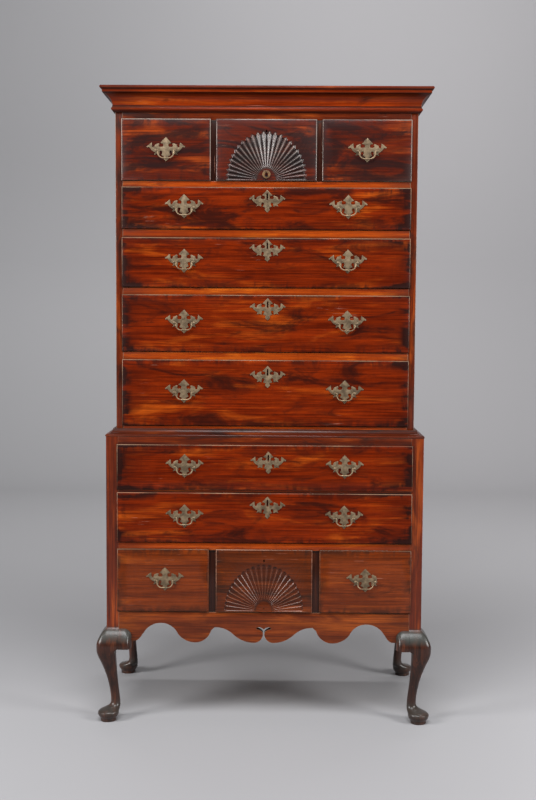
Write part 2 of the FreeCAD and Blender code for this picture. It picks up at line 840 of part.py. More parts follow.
def handle_post():
    """A post: a shank through the front, a collar on the plate and a round head with an eye."""
    middle = "-(plate_thick + head_stand)"
    shank = rod("shank_radius", "-plate_thick", "front_thick + nut_thick + shank_radius / 2")
    collar = rod("collar_radius", f"{middle} + 1", "-plate_thick")
    ball = doc.addObject("Part::Sphere", "ball")
    bind(ball, "Radius", "head_radius")
    place(ball, y=middle)
    eye = rod("wire_radius + eye_clear", "-head_radius * 2", "head_radius * 2", y=middle, along="X")
    return cut(fuse(shank, collar, ball), eye)


def handle_nut():
    """A round nut behind the front."""
    return cut(rod("nut_radius", "front_thick", "front_thick + nut_thick"),
               rod("shank_radius + shank_clear", "front_thick - 1", "front_thick + nut_thick + 1"))


def bail():
    """A bail that hangs from its two ends, which turn out away from each other through the eyes."""
    body = new_body()
    path = sketch(body, "XZ_Plane", off="plate_thick + head_stand")
    pin_end = "post_spacing / 2 + pin_reach"
    half = [
        (pin_end, "0"), (f"{BAIL_HALF} + bail_bend", "0", "bail_bend"),
        (BAIL_HALF, "-bail_bend"), (BAIL_HALF, "-bail_arm", "-bail_corner"),
        ("bail_flat", "-bail_drop"),
    ]
    left = [(f"-({across})", up) for across, up, *_ in reversed(half)]
    left[0] += ("-bail_corner",)
    left[2] += ("bail_bend",)
    outline(path, half + left, closed=False)
    section = sketch(body, "YZ_Plane", off=pin_end)
    circle(section, "-(plate_thick + head_stand)", "0", "wire_radius")
    pipe = body.newObject("PartDesign::AdditivePipe", "pipe")
    pipe.Profile = section
    pipe.Spine = path
    return body


PLATE = batwing()
BROKEN_PLATE = batwing(broken=True)
KEY_PLATE = batwing(keyhole=True)
POST = handle_post()
NUT = handle_nut()
BAIL = bail()


# ---------------------------------------------------------------- drawers

def drawer(name, case, x, z, handles, key="", key_side="0", rise="pull_rise", under="under_gap",
           fan=False, rosette_ring=False, broken=False):
    """One drawer in the opening x by z: its front, its box, its brasses and its bails.

    handles are the middles of its handles, key is its keyhole's drop below the lip's top, and
    under is the gap below the front (negative where the front covers the rail). A fan's keyhole
    is short and has no plate.
    """
    lip_back = f"{CASES[case][0]} - lip_gap"
    face = f"{lip_back} - lip_thick"
    block_back = f"{face} + front_thick"
    box_end = f"{INNER_BACK} - back_room"
    outer = (f"{x[0]} + guide_gap", f"{x[1]} - guide_gap")
    inner = (f"{outer[0]} + box_side", f"{outer[1]} - box_side")
    lip = ((f"{x[0]} - lip_lap", f"{x[1]} + lip_lap"), (f"{z[0]} + {under}", f"{z[1]} + lip_lap"))
    box_z = (f"{z[0]} + run_gap", f"{z[1]} - head_gap")
    panel_z = (f"{box_z[0]} + panel_rise", f"{box_z[0]} + panel_rise + panel_thick")
    posts_z = f"({lip[1][0]} + {lip[1][1]}) / 2 + {rise}"
    key_z = f"{lip[1][1]} - {key}"
    lock_z = f"{key_z} - lock_drop"

    panel = box((f"{inner[0]} - groove", f"{inner[1]} + groove"),
                (f"{block_back} - groove", box_end), panel_z)
    sides = [cut(box_board(case_x, block_back, box_end, box_z), panel)
             for case_x in (outer[0], f"{outer[1]} - box_side")]
    back = box(inner, (f"{box_end} - box_back", box_end), (panel_z[1], box_z[1]))

    block = new_body()
    flat = sketch(block, "XZ_Plane", off=f"-({lip_back})")
    oblong(flat, *lip)
    plate_pad = pad(block, flat, "lip_thick")
    doc.recompute()
    rounded = block.newObject("PartDesign::Fillet", "fillet")
    front_y = value(face)
    rounded.Base = (plate_pad, edges_at(plate_pad, lambda spot: abs(spot.y - front_y) < 0.01))
    bind(rounded, "Radius", "lip_round")
    flat = sketch(block, "XZ_Plane", off=f"-({lip_back})")
    oblong(flat, outer, (f"{z[0]} + under_gap", f"{z[1]} - head_gap / 2"))
    pad(block, flat, "front_thick - lip_thick", backwards=True)
    holes = sketch(block, "XZ_Plane")
    for middle in handles:
        for sign in ("-", "+"):
            circle(holes, f"{middle} {sign} post_spacing / 2", posts_z, "shank_radius + shank_clear")
    if key:
        key_slot(holes, key_side, key_z, "fan_keyhole_drop" if fan else "keyhole_drop")
    pierce(block, holes)

    node(f"{name}_front", [cut(block, *sides, panel)])
    node(f"{name}_box", [*sides, back, panel])

    metal = []
    for middle in handles:
        wing = BROKEN_PLATE if broken else PLATE
        metal.append(copy(wing, middle, face, posts_z))
        for sign in ("-", "+"):
            spot = (f"{middle} {sign} post_spacing / 2", face, posts_z)
            metal += [copy(POST, *spot), copy(NUT, *spot)]
    if key:
        lock_x = (f"{key_side} - lock_width / 2", f"{key_side} + lock_width / 2")
        metal.append(box(lock_x, (block_back, f"{block_back} + lock_thick"),
                         (f"{lock_z} - lock_height / 2", f"{lock_z} + lock_height / 2")))
    if key and not fan:
        metal.append(copy(KEY_PLATE, key_side, face, f"{key_z} - key_over"))
    if rosette_ring:
        metal.append(rosette(face, f"{lip[1][0]} + rosette_rise"))
    if metal:
        node(f"{name}_brasses", metal)
    for side, middle in zip(("left", "right") if len(handles) > 1 else ("",), handles):
        label = f"{name}_{side}_bail" if side else f"{name}_bail"
        node(label, [copy(BAIL, middle, face, posts_z)])


def box_board(start, block_back, box_end, levels):
    """A drawer side whose front end is cut into dovetails, with its low x at start."""
    low, high = levels
    count = max(2, round(value(f"({high}) - ({low})") / value("tail_pitch")))
    pitch = f"(({high}) - ({low})) / {count}"
    corners = [(box_end, low), (block_back, low)]
    for index in range(count):
        bottom, top = f"{low} + {pitch} * {index + 0.22}", f"{low} + {pitch} * {index + 0.78}"
        corners += [
            (block_back, bottom),
            (f"{block_back} - tail_length", f"{bottom} - tail_flare"),
            (f"{block_back} - tail_length", f"{top} + tail_flare"),
            (block_back, top),
        ]
    corners += [(block_back, high), (box_end, high)]
    body = new_body()
    flat = sketch(body, "YZ_Plane", off=start)
    outline(flat, corners)
    pad(body, flat, "box_side")
    return body


def rosette(face, height):
    """A brass ring on the hub of the upper fan."""
    return cut(rod("rosette_radius", f"{face} - rosette_thick", face, z=height),
               rod("rosette_hole", f"{face} - rosette_thick * 2", f"{face} + 1", z=height))


def drawers():
    small_ones = [
        ("upper", UPPER_LEVELS[9:11], "upper_fan_key", "small_pull_rise", "0"),
        ("lower", LOWER_LEVELS[0:2], "lower_fan_key", "pull_rise", "lower_small_shift"),
    ]
    for case, levels, key, rise, shift in small_ones:
        _, half, _, divider, centre = CASES[case]
        outside, inside = f"{centre} + {divider} / 2", f"{centre} - {divider} / 2"
        middle = f"({half} + {outside}) / 2"
        drawer(f"{case}_small_left", case, (f"-({half})", f"-({outside})"), levels,
               [f"{shift} - {middle}"], rise=rise)
        drawer(f"{case}_fan", case, both(inside), levels, [], key=key, fan=True,
               rosette_ring=case == "upper")
        drawer(f"{case}_small_right", case, (outside, half), levels, [middle], rise=rise,
               broken=case == "lower")
    long_ones = [
        ("upper_first", "upper", UPPER_LEVELS[7:9], "first_key", "under_gap"),
        ("upper_second", "upper", UPPER_LEVELS[5:7], "second_key", "under_gap"),
        ("upper_third", "upper", UPPER_LEVELS[3:5], "third_key", "under_gap"),
        ("upper_fourth", "upper", UPPER_LEVELS[1:3], "fourth_key", "under_gap"),
        ("lower_first", "lower", LOWER_LEVELS[4:6], "lower_first_key", "-under_lap"),
        ("lower_second", "lower", LOWER_LEVELS[2:4], "lower_second_key", "under_gap"),
    ]
    for name, case, levels, key, under in long_ones:
        pull = f"{case}_pull"
        right = f"{pull} - fourth_pull_shift" if name == "upper_fourth" else pull
        drawer(name, case, both(CASES[case][1]), levels, [f"-{pull}", right], key=key,
               key_side=f"{key}_side", under=under)


# ---------------------------------------------------------------- build, check and write

upper_boards()
lower_boards()
mouldings()
rails()
skirt()
legs()
drawers()
doc.recompute()

faults = []
for thing in doc.Objects:
    if "Invalid" in thing.State or "Error" in thing.State:
        faults.append(f"{thing.Name} ({thing.Label}): {thing.State}")
for thing in nodes:
    if thing.Shape.isNull() or not thing.Shape.isValid() or not thing.Shape.Solids:
        faults.append(f"{thing.Label}: no valid solid")
if faults:
    raise RuntimeError("; ".join(faults))

os.makedirs("parts", exist_ok=True)
for thing in nodes:
    thing.Shape.exportStep(f"parts/{thing.Label}.step")
    print(thing.Label, len(thing.Shape.Solids), round(thing.Shape.Volume))
print(len(nodes), "nodes")
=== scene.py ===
"""Old varnished high chest of drawers: its woods, brasses, carved fans and legs."""

import json
import math
import random

import bmesh
import bpy
from mathutils import Matrix, Vector

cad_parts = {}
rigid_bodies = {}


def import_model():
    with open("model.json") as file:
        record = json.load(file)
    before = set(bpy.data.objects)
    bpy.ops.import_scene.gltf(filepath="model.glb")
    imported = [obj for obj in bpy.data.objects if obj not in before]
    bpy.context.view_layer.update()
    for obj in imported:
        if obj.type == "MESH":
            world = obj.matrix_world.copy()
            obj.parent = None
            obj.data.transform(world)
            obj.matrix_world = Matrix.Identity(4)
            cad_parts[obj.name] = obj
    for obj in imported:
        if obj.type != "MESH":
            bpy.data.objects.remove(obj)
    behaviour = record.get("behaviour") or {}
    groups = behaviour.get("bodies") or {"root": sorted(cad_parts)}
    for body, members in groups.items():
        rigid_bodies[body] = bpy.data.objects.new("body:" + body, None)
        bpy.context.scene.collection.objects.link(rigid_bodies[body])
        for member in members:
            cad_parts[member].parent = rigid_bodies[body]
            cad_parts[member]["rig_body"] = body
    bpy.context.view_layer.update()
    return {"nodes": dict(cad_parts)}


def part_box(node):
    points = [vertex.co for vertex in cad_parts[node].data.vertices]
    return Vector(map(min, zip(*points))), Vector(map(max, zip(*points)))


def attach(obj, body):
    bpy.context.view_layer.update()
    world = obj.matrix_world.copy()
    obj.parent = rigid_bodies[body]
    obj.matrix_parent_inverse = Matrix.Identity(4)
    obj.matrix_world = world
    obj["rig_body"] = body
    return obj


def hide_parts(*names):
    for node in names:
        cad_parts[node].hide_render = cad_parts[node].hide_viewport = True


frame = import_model()

MM = 0.001
SHARP = math.radians(32)
SAME_SPOT = 0.002 * MM


# ---------------------------------------------------------------- shader sums

class Strand:
    """A socket of a shader that can be written into sums."""

    def __init__(self, tree, socket):
        self.tree = tree
        self.socket = socket

    def sum(self, operation, *terms):
        joint = self.tree.nodes.new("ShaderNodeMath")
        joint.operation = operation
        for slot, term in zip(joint.inputs, terms):
            feed(self.tree, slot, term)
        return Strand(self.tree, joint.outputs[0])

    def __add__(self, other):
        return self.sum("ADD", self, other)

    def __radd__(self, other):
        return self.sum("ADD", other, self)

    def __sub__(self, other):
        return self.sum("SUBTRACT", self, other)

    def __rsub__(self, other):
        return self.sum("SUBTRACT", other, self)

    def __mul__(self, other):
        return self.sum("MULTIPLY", self, other)

    def __rmul__(self, other):
        return self.sum("MULTIPLY", other, self)


def feed(tree, slot, term):
    if isinstance(term, Strand):
        tree.links.new(term.socket, slot)
    else:
        slot.default_value = term


class Finish:
    """One material and the shader that makes its colour, gloss and grain."""

    def __init__(self, name):
        self.material = bpy.data.materials.new(name)
        self.material.use_nodes = True
        self.tree = self.material.node_tree
        self.tree.nodes.clear()

    def add(self, kind, settings=None, sockets=None, out=0):
        node = self.tree.nodes.new(kind)
        for key, setting in (settings or {}).items():
            if key == "stops":
                self.set_stops(node.color_ramp, setting)
            else:
                setattr(node, key, setting)
        for key, term in (sockets or {}).items():
            feed(self.tree, node.inputs[key], term)
        return Strand(self.tree, node.outputs[out])

    @staticmethod
    def set_stops(ramp, stops):
        """Puts amounts between 0 and 1 on a ramp that starts with two stops."""
        ramp.elements.remove(ramp.elements[1])
        ramp.elements[0].position = 0
        for index, (position, amount) in enumerate(stops):
            element = ramp.elements.new(position) if index else ramp.elements[0]
            element.color = (amount, amount, amount, 1)

    def reach(self, axis):
        """How far along x, y or z a point lies, in the chest's own frame."""
        spot = self.add("ShaderNodeTexCoord", out=3)
        return self.add("ShaderNodeSeparateXYZ", None, {0: spot}, "xyz".index(axis))

    def levels(self, term, stops):
        """An amount that changes evenly from one level of the term to the next."""
        low, high = stops[0][0], stops[-1][0]
        share = self.add("ShaderNodeMapRange", None, {0: term, 1: low, 2: high})
        shares = [((level - low) / (high - low), amount) for level, amount in stops]
        return self.add("ShaderNodeValToRGB", {"stops": shares}, {0: share})

    def blend(self, factor, first, second):
        """The first colour where the factor is 0, the second where it is 1."""
        node = self.tree.nodes.new("ShaderNodeMix")
        node.data_type = "RGBA"
        feed(self.tree, node.inputs[0], factor)
        for slot, term in ((node.inputs[6], first), (node.inputs[7], second)):
            feed(self.tree, slot, term if isinstance(term, Strand) else (*term, 1))
        return Strand(self.tree, node.outputs[2])

    def step(self, term, low, high, start=0.0, end=1.0):
        """A soft step from start below low to end above high."""
        return self.add("ShaderNodeMapRange", {"interpolation_type": "SMOOTHSTEP"},
                        {0: term, 1: low, 2: high, 3: start, 4: end})

    def spots(self, place, stretch, detail, roughness=0.55, twist=0.0):
        """Noise on a place that is stretched by a number for each axis."""
        place = self.add("ShaderNodeVectorMath", {"operation": "MULTIPLY"}, {0: place, 1: stretch})
        return self.add("ShaderNodeTexNoise", None,
                        {"Vector": place, "Scale": 1.0, "Detail": detail, "Roughness": roughness,
                         "Distortion": twist})

    def place(self, seed):
        """Where a point is on the piece, shifted for each board so that no two look alike."""
        place = self.add("ShaderNodeTexCoord", out=3)
        board = self.add("ShaderNodeAttribute", {"attribute_name": "board"}, out=2)
        shift = self.add("ShaderNodeVectorMath", {"operation": "SCALE"},
                         {0: (7.3, 5.1, 9.7), 3: board + seed})
        return self.add("ShaderNodeVectorMath", {"operation": "ADD"}, {0: place, 1: shift})

    def mark(self, name):
        """A number that the piece's maker left on its surface."""
        return self.add("ShaderNodeAttribute", {"attribute_name": name}, out=2)

    def bump(self, height, distance, strength, under=None):
        sockets = {"Height": height, "Distance": distance, "Strength": strength}
        if under:
            sockets["Normal"] = under
        return self.add("ShaderNodeBump", None, sockets)

    def close(self, **sockets):
        """Ends the shader in one Principled surface."""
        surface = self.tree.nodes.new("ShaderNodeBsdfPrincipled")
        for key, term in sockets.items():
            feed(self.tree, surface.inputs[key.replace("_", " ")], term)
        end = self.tree.nodes.new("ShaderNodeOutputMaterial")
        self.tree.links.new(surface.outputs[0], end.inputs[0])
        return self.material


def tone(red, green, blue):
    """A colour as it is seen on a screen, from 0 to 255, as the amounts of light in it."""
    parts = (channel / 255 for channel in (red, green, blue))
    return tuple(part / 12.92 if part <= 0.04045 else ((part + 0.055) / 1.055) ** 2.4
                 for part in parts)


def stretched(along, length, width):
    """Stretch for the three axes: length along the grain, width across it."""
    return tuple(length if axis == along else width for axis in "xyz")


# ---------------------------------------------------------------- woods

# the tone of a painted grey sheen, where the overhead light falls on the legs' upward faces
PAINTED_SHEEN_TONE = tone(54, 56, 52)
SCUFF = tone(168, 116, 98)
# near-black: mostly painted shade in hollows, gaps and crevices, also a crack line and the waist
# moulding's darker top
SHADE_AND_SOOT_TONE = tone(17, 7, 4)
# heights between which the knees' dark wood gives way to the corner posts', and distances from
# the chest's middle between which a front's or rail's ends darken
KNEE_RISE = (0.258, 0.296)
ENDS_FROM = (0.3, 0.43)


def varnished(name, along, tones, seed, low_tones=None, shade_and_soot=None, painted_sheen=None, ends=0.0,
              stain=(0.5, 0.64), glow=(0.52, 0.64), gloss=0.28, sheen=0.22, coat=0.12,
              coat_gloss=0.12, wear_and_highlight=tone(146, 116, 92)):
    """Old stained and varnished wood with its grain along one axis.

    tones are the dark and light of its grain, its glow and its stains, and low_tones those below
    the knees. stain and glow are the levels of noise at which each of the two sets in. Levels by
    height darken it, mostly with painted shade and with a dark crack line on the cornice, other
    levels by height paint a grey sheen on it, and ends darkens its two ends. Its rubbed marks and
    their tone stand for wear and for painted highlights, and its sunken marks paint shade.
    """
    finish = Finish(name)
    place = finish.place(seed)
    height = finish.reach("z")
    if low_tones:
        upper = finish.step(height, *KNEE_RISE)
        tones = [finish.blend(upper, low, high) for low, high in zip(low_tones, tones)]
    dark, light, glowing, stained = tones
    fibres = finish.spots(place, stretched(along, 15, 900), 2.0, 0.6)
    streaks = finish.spots(place, stretched(along, 4.2, 190), 4.0, 0.65, 0.3)
    bands = finish.spots(place, stretched(along, 2.6, 46), 4.0, 0.6, 0.7)
    patches = finish.spots(place, stretched(along, 5.4, 19), 5.0, 0.62, 0.9)
    warmth = finish.spots(place, stretched(along, 3.4, 15), 4.0, 0.6, 0.8)
    curl = finish.spots(place, stretched(along, 34, 9), 3.0, 0.55, 1.2)

    grain = streaks * 0.5 + bands * 0.42 + curl * 0.08
    colour = finish.blend(finish.step(grain, 0.36, 0.63), dark, light)
    lit = (finish.step(warmth * 0.65 + bands * 0.35, *glow)
           * finish.step(streaks, 0.36, 0.58, 0.2, 1.0))
    colour = finish.blend(lit * 0.9, colour, glowing)
    grime = finish.step(patches * 0.74 + bands * 0.18 + curl * 0.08, *stain)
    rim = finish.mark("rim") * finish.step(patches * 0.4 + bands * 0.3 + curl * 0.3, 0.44, 0.56)
    if ends:
        side = finish.reach("x")
        rim = rim + (finish.step(side.sum("ABSOLUTE", side), *ENDS_FROM) * ends
                     * finish.step(patches * 0.7 + bands * 0.3, 0.4, 0.54, 0.25, 1.0))
    dirt = grime.sum("MAXIMUM", grime * 0.88, rim * 0.85)
    colour = finish.blend(dirt, colour, stained)
    colour = finish.blend(finish.step(fibres, 0.42, 0.66, 0.0, 0.38), colour, stained)
    # rubbed marks: wear on eased edges, and on the lips and the fans' crests also painted
    # highlights
    worn_and_highlit = finish.mark("worn_and_highlit") * finish.step(streaks * 0.3 + warmth * 0.7, 0.4, 0.56, 0.3, 1.0)
    colour = finish.blend(worn_and_highlit, colour, wear_and_highlight)
    scuffs = (finish.step(finish.spots(place, stretched(along, 13, 330), 3.0, 0.6), 0.64, 0.72)
              * finish.step(finish.spots(place, (7, 7, 7), 1.0), 0.6, 0.68))
    colour = finish.blend(scuffs * 0.55, colour, SCUFF)
    # a painted grey sheen by height
    if painted_sheen:
        sheen_mask = finish.levels(height, painted_sheen) * finish.step(patches, 0.3, 0.5, 0.5, 1.0)
        colour = finish.blend(sheen_mask, colour, PAINTED_SHEEN_TONE)
    # painted shade: sunken marks and levels by height darken the wood towards near-black
    sunk_shade = finish.mark("sunk_shade")
    if shade_and_soot:
        sunk_shade = sunk_shade.sum("MAXIMUM", sunk_shade, finish.levels(height, shade_and_soot))
    colour = finish.blend(sunk_shade, colour, SHADE_AND_SOOT_TONE)

    ripple = finish.spots(place, (9, 9, 9), 1.0, 0.4)
    relief = finish.bump(ripple, 0.0016, 0.3)
    relief = finish.bump(streaks * 0.6 + fibres * 0.4, 0.00018, 0.6, relief)
    dull = gloss + dirt * 0.1 + fibres * 0.14 - 0.07 + worn_and_highlit * 0.04 + sunk_shade * 0.12
    return finish.close(Base_Color=colour, Roughness=dull, Specular_IOR_Level=sheen,
                        Coat_Weight=coat, Coat_Roughness=coat_gloss, Normal=relief)


def bare_pine(name, along, seed):
    """Unfinished pine gone brown with age, with darker late-wood lines and dust."""
    finish = Finish(name)
    place = finish.place(seed)
    rings = finish.spots(place, stretched(along, 1.2, 42), 4.0, 0.55, 0.9)
    fibres = finish.spots(place, stretched(along, 11, 520), 2.0, 0.6)
    dirt = finish.spots(place, (6, 6, 6), 4.0, 0.6)
    colour = finish.blend(finish.step(rings, 0.4, 0.6), tone(168, 128, 84), tone(128, 88, 52))
    colour = finish.blend(finish.step(fibres, 0.4, 0.7, 0.0, 0.4), colour, tone(104, 70, 42))
    colour = finish.blend(finish.mark("board") * 0.45, colour, tone(112, 84, 60))
    colour = finish.blend(finish.step(dirt, 0.5, 0.75, 0.0, 0.6), colour, tone(84, 58, 38))
    relief = finish.bump(rings * 0.5 + fibres * 0.5, 0.0003, 0.6)
    return finish.close(Base_Color=colour, Roughness=0.7 + fibres * 0.2, Normal=relief)


def in_three(make):
    """The same wood with its grain along x, y and z."""
    return [make(along) for along in "xyz"]


# each wood's dark grain, light grain, glow and stain
RED_TONES = (tone(73, 16, 2), tone(126, 38, 5), tone(172, 76, 16), tone(34, 10, 6))
DARK_TONES = (tone(60, 17, 7), tone(100, 31, 10), tone(150, 62, 18), tone(26, 10, 9))
BROWN_TONES = (tone(80, 28, 5), tone(122, 50, 12), tone(150, 70, 18), tone(42, 19, 8))
SHELL_TONES = (tone(64, 24, 6), tone(102, 42, 12), tone(132, 60, 18), tone(36, 18, 9))
CASE_TONES = (tone(66, 19, 5), tone(106, 38, 10), tone(148, 64, 18), tone(33, 14, 9))
RAIL_TONES = (tone(118, 38, 4), tone(164, 66, 8), tone(196, 96, 20), tone(56, 18, 6))
MOULD_TONES = (tone(104, 28, 3), tone(152, 52, 6), tone(190, 84, 16), tone(46, 14, 5))
# the dividers' darker tones paint the shade they stand in, set back between the drawers' lips
SHADED_DIVIDER_TONES = (tone(34, 14, 9), tone(58, 26, 15), tone(86, 40, 19), tone(20, 11, 10))
LEG_TONES = (tone(34, 17, 11), tone(64, 32, 20), tone(90, 46, 26), tone(22, 14, 12))

FRONTS = sorted(name for name in frame["nodes"] if name.endswith("_front"))
LIP_TOPS = sorted({round(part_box(name)[1].z, 4) for name in FRONTS})
BELOW_ALL = 0.3
ABOVE_ALL = 1.9


def shade_at_tops(tops, marks):
    """Painted shade by height: at each top, amounts at some distances from it in millimetres."""
    stops = [(top + rise * MM, amount) for top in tops for rise, amount in marks]
    return [(BELOW_ALL, 0)] + stops + [(ABOVE_ALL, 0)]


def crevice_shade():
    """Painted shade in the corner over each drawer's lip: a dark line on the rail just above it."""
    return shade_at_tops(LIP_TOPS, ((-0.3, 0), (0.5, 1), (4, 0)))


def divider_shadow():
    """Painted shadow in the gaps at the dividers' tops, between the lips of the small drawers."""
    return shade_at_tops((LIP_TOPS[0], LIP_TOPS[-1]), ((-9, 0), (-8, 1), (0.5, 1), (1, 0)))


def cornice_shade_and_crack():
    """Painted shade under the cornice's overhangs and in its hollows, and a dark crack line about
    17 mm over its foot, by millimetres from its foot.
    """
    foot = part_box("cornice_moulding")[0].z
    return [(foot + rise * MM, amount) for rise, amount in (
        (0, 0.85), (3.5, 0.8), (5, 0.5), (9, 0.35), (13, 0.35), (16, 0.5), (17, 0.95), (18.5, 0.9),
        (19.5, 0.2), (21.5, 0), (34, 0.05), (43, 0.35), (50, 0.7), (53.2, 0.95), (54.6, 0.3),
        (58, 0.2), (61, 0.4), (62.3, 0.85), (63.5, 0.85), (65, 0.4), (69, 0.45), (72, 0.55))]


def waist_darkening():
    """Darker towards the top of the waist moulding."""
    low, high = (corner.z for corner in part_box("waist_moulding"))
    return [(low, 0.1), (low + 5 * MM, 0.1), (low + 9 * MM, 0.25), (low + 12 * MM, 0.5),
            (high, 0.6)]


# a painted grey sheen on the feet and the knees' brows, where the overhead light catches their
# upward faces, by height
KNEE_AND_FOOT_PAINTED_SHEEN = [(0, 0.2), (0.02, 0.3), (0.03, 0.55), (0.046, 0.5), (0.062, 0.1), (0.09, 0),
              (0.238, 0), (0.247, 0.5), (0.256, 0.85), (0.272, 0.9), (0.279, 0.5), (0.286, 0)]


case_wood = in_three(lambda along: varnished(f"case varnish along {along}", along, CASE_TONES, 3.1))
rail_wood = [
    varnished(f"rail varnish along {along}", along, tones, 5.7, shade_and_soot=shade_and_soot, ends=ends,
              stain=(0.55, 0.7))
    for along, tones, shade_and_soot, ends in (("x", RAIL_TONES, crevice_shade(), 0.75),
                                     ("y", RAIL_TONES, crevice_shade(), 0.75),
                                     ("z", SHADED_DIVIDER_TONES, divider_shadow(), 0.0))]
frieze_wood = varnished("frieze varnish", "x", CASE_TONES, 4.4, shade_and_soot=crevice_shade(), ends=0.4)
cornice_wood = in_three(lambda along: varnished(
    f"cornice varnish along {along}", along, MOULD_TONES, 6.6, shade_and_soot=cornice_shade_and_crack(),
    ends=0.5, stain=(0.55, 0.7), sheen=0.1, coat=0.08))
waist_wood = in_three(lambda along: varnished(
    f"waist varnish along {along}", along, CASE_TONES, 7.9, shade_and_soot=waist_darkening(), ends=0.4))
# the fronts' and fans' rubbed tones also paint highlights: on the lips' top edges, the top row's
# side lips and the fans' crests
front_wood = varnished("drawer front varnish", "x", RED_TONES, 8.3, ends=0.7,
                       stain=(0.48, 0.65), glow=(0.5, 0.68), sheen=0.08, coat=0.06)
first_front_wood = varnished("first drawer varnish", "x", RED_TONES, 8.3, ends=0.8,
                             stain=(0.42, 0.58), glow=(0.52, 0.68), sheen=0.08, coat=0.06)
small_front_wood = varnished("small drawer varnish", "x", DARK_TONES, 1.2, stain=(0.46, 0.6),
                             wear_and_highlight=tone(158, 146, 134))
low_front_wood = varnished("low drawer varnish", "x", BROWN_TONES, 9.4, stain=(0.55, 0.7),
                           wear_and_highlight=tone(112, 80, 56))
fan_wood = varnished("carved fan varnish", "x", DARK_TONES, 2.9, stain=(0.46, 0.58), gloss=0.34,
                     coat=0.3, coat_gloss=0.2, wear_and_highlight=tone(150, 142, 134))
lower_fan_wood = varnished("lower fan varnish", "x", SHELL_TONES, 4.9, stain=(0.5, 0.62),
                           wear_and_highlight=tone(172, 128, 106))
skirt_wood = varnished("skirt varnish", "x", BROWN_TONES, 6.1, ends=0.5, stain=(0.58, 0.74),
                       glow=(0.46, 0.6), gloss=0.4)
leg_wood = varnished("leg varnish", "z", CASE_TONES, 1.7, low_tones=LEG_TONES, painted_sheen=KNEE_AND_FOOT_PAINTED_SHEEN,
                     stain=(0.54, 0.7), gloss=0.36, coat=0.35, coat_gloss=0.24)
pine = in_three(lambda along: bare_pine(f"old pine along {along}", along, 1.3))


# ---------------------------------------------------------------- metals

# heights over a fan front's lower edge of the hole in its hub, and the hole's radius
HUB_HOLE = {"upper_fan": (16, 2.6), "lower_fan": (12, 1.5)}
FAN_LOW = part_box("upper_fan_front")[0]
RING_MIDDLE = (0, FAN_LOW.y, FAN_LOW.z + HUB_HOLE["upper_fan"][0] * MM)


def old_brass(name, bright, dark, seed, rough, worn_and_highlit=tone(174, 152, 124), hollow=None):
    """Cast brass gone dull and rubbed on its edges, with painted shade, near black, close round a
    hollow's middle.
    """
    finish = Finish(name)
    place = finish.place(seed)
    clouds = finish.spots(place, (70, 70, 70), 4.0, 0.6)
    specks = finish.spots(place, (700, 700, 700), 2.0, 0.5)
    colour = finish.blend(finish.step(clouds, 0.36, 0.66), bright, dark)
    colour = finish.blend(finish.step(specks, 0.58, 0.72, 0.0, 0.45), colour, tone(82, 62, 40))
    colour = finish.blend(finish.mark("worn_and_highlit") * 0.7, colour, worn_and_highlit)
    # painted shade of the hub's hole, spread over the ring's inner part
    if hollow:
        away = finish.add("ShaderNodeVectorMath", {"operation": "DISTANCE"},
                          {0: finish.add("ShaderNodeTexCoord", out=3), 1: hollow}, 1)
        colour = finish.blend(finish.step(away, 5.5 * MM, 7 * MM, 1.0, 0.0), colour,
                              tone(14, 9, 6))
    relief = finish.bump(clouds * 0.6 + specks * 0.4, 0.00012, 0.5)
    return finish.close(Base_Color=colour, Metallic=0.45, Roughness=rough + clouds * 0.16,
                        Normal=relief)


plate_brass = old_brass("plate brass", tone(130, 111, 86), tone(88, 73, 54), 0.4, 0.46)
bail_brass = old_brass("bail brass", tone(156, 133, 103), tone(106, 87, 64), 1.9, 0.38)
ring_brass = old_brass("ring brass", tone(140, 108, 72), tone(84, 58, 36), 2.6, 0.36,
                       hollow=RING_MIDDLE)
lock_iron = old_brass("lock iron", tone(84, 74, 66), tone(52, 42, 36), 3.3, 0.6,
                      worn_and_highlit=tone(110, 100, 90))


# ---------------------------------------------------------------- shaping

def lofted(bm, rings, closed=True):
    """A skin over rings of as many points each: one ring's edges are drawn out to the next.

    The first ring is capped, and the last too where it is closed. Gives the last ring's edges.
    """
    corners = [bm.verts.new(spot) for spot in rings[0]]
    count = len(corners)
    edges = [bm.edges.new((corners[index], corners[(index + 1) % count])) for index in range(count)]
    bmesh.ops.contextual_create(bm, geom=edges)
    for ring in rings[1:]:
        drawn = bmesh.ops.extrude_edge_only(bm, edges=edges)["geom"]
        fresh = {part for part in drawn if isinstance(part, bmesh.types.BMVert)}
        followers = []
        for corner in corners:
            reach = (edge.other_vert(corner) for edge in corner.link_edges)
            followers.append(next(vert for vert in reach if vert in fresh))
        for vert, spot in zip(followers, ring):
            vert.co = spot
        corners = followers
        edges = [bm.edges.get((corners[index], corners[(index + 1) % count]))
                 for index in range(count)]
    if closed:
        bmesh.ops.contextual_create(bm, geom=edges)
    return edges


def marked(bm, name, faces, amount):
    """Leaves a number on faces, for their finish to read."""
    layer = bm.faces.layers.float[name]
    for face in faces:
        face[layer] = amount


def placed(name, bm):
    """An object of the mesh, in the scene."""
    mesh = bpy.data.meshes.new(name)
    bm.to_mesh(mesh)
    bm.free()
    thing = bpy.data.objects.new(name, mesh)
    bpy.context.scene.collection.objects.link(thing)
    return thing


def shown(bm, name, finishes, node):
    """Makes a finished piece of the mesh: it rides on its node's body and stands for the node."""
    for face in bm.faces:
        face.smooth = True
    for edge in bm.edges:
        faces = edge.link_faces
        if len(faces) != 2 or edge.calc_face_angle(math.pi) > SHARP:
            edge.smooth = False
    piece = placed(name, bm)
    for finish in finishes:
        piece.data.materials.append(finish)
    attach(piece, frame["nodes"][node]["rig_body"])
    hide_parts(node)
    return piece


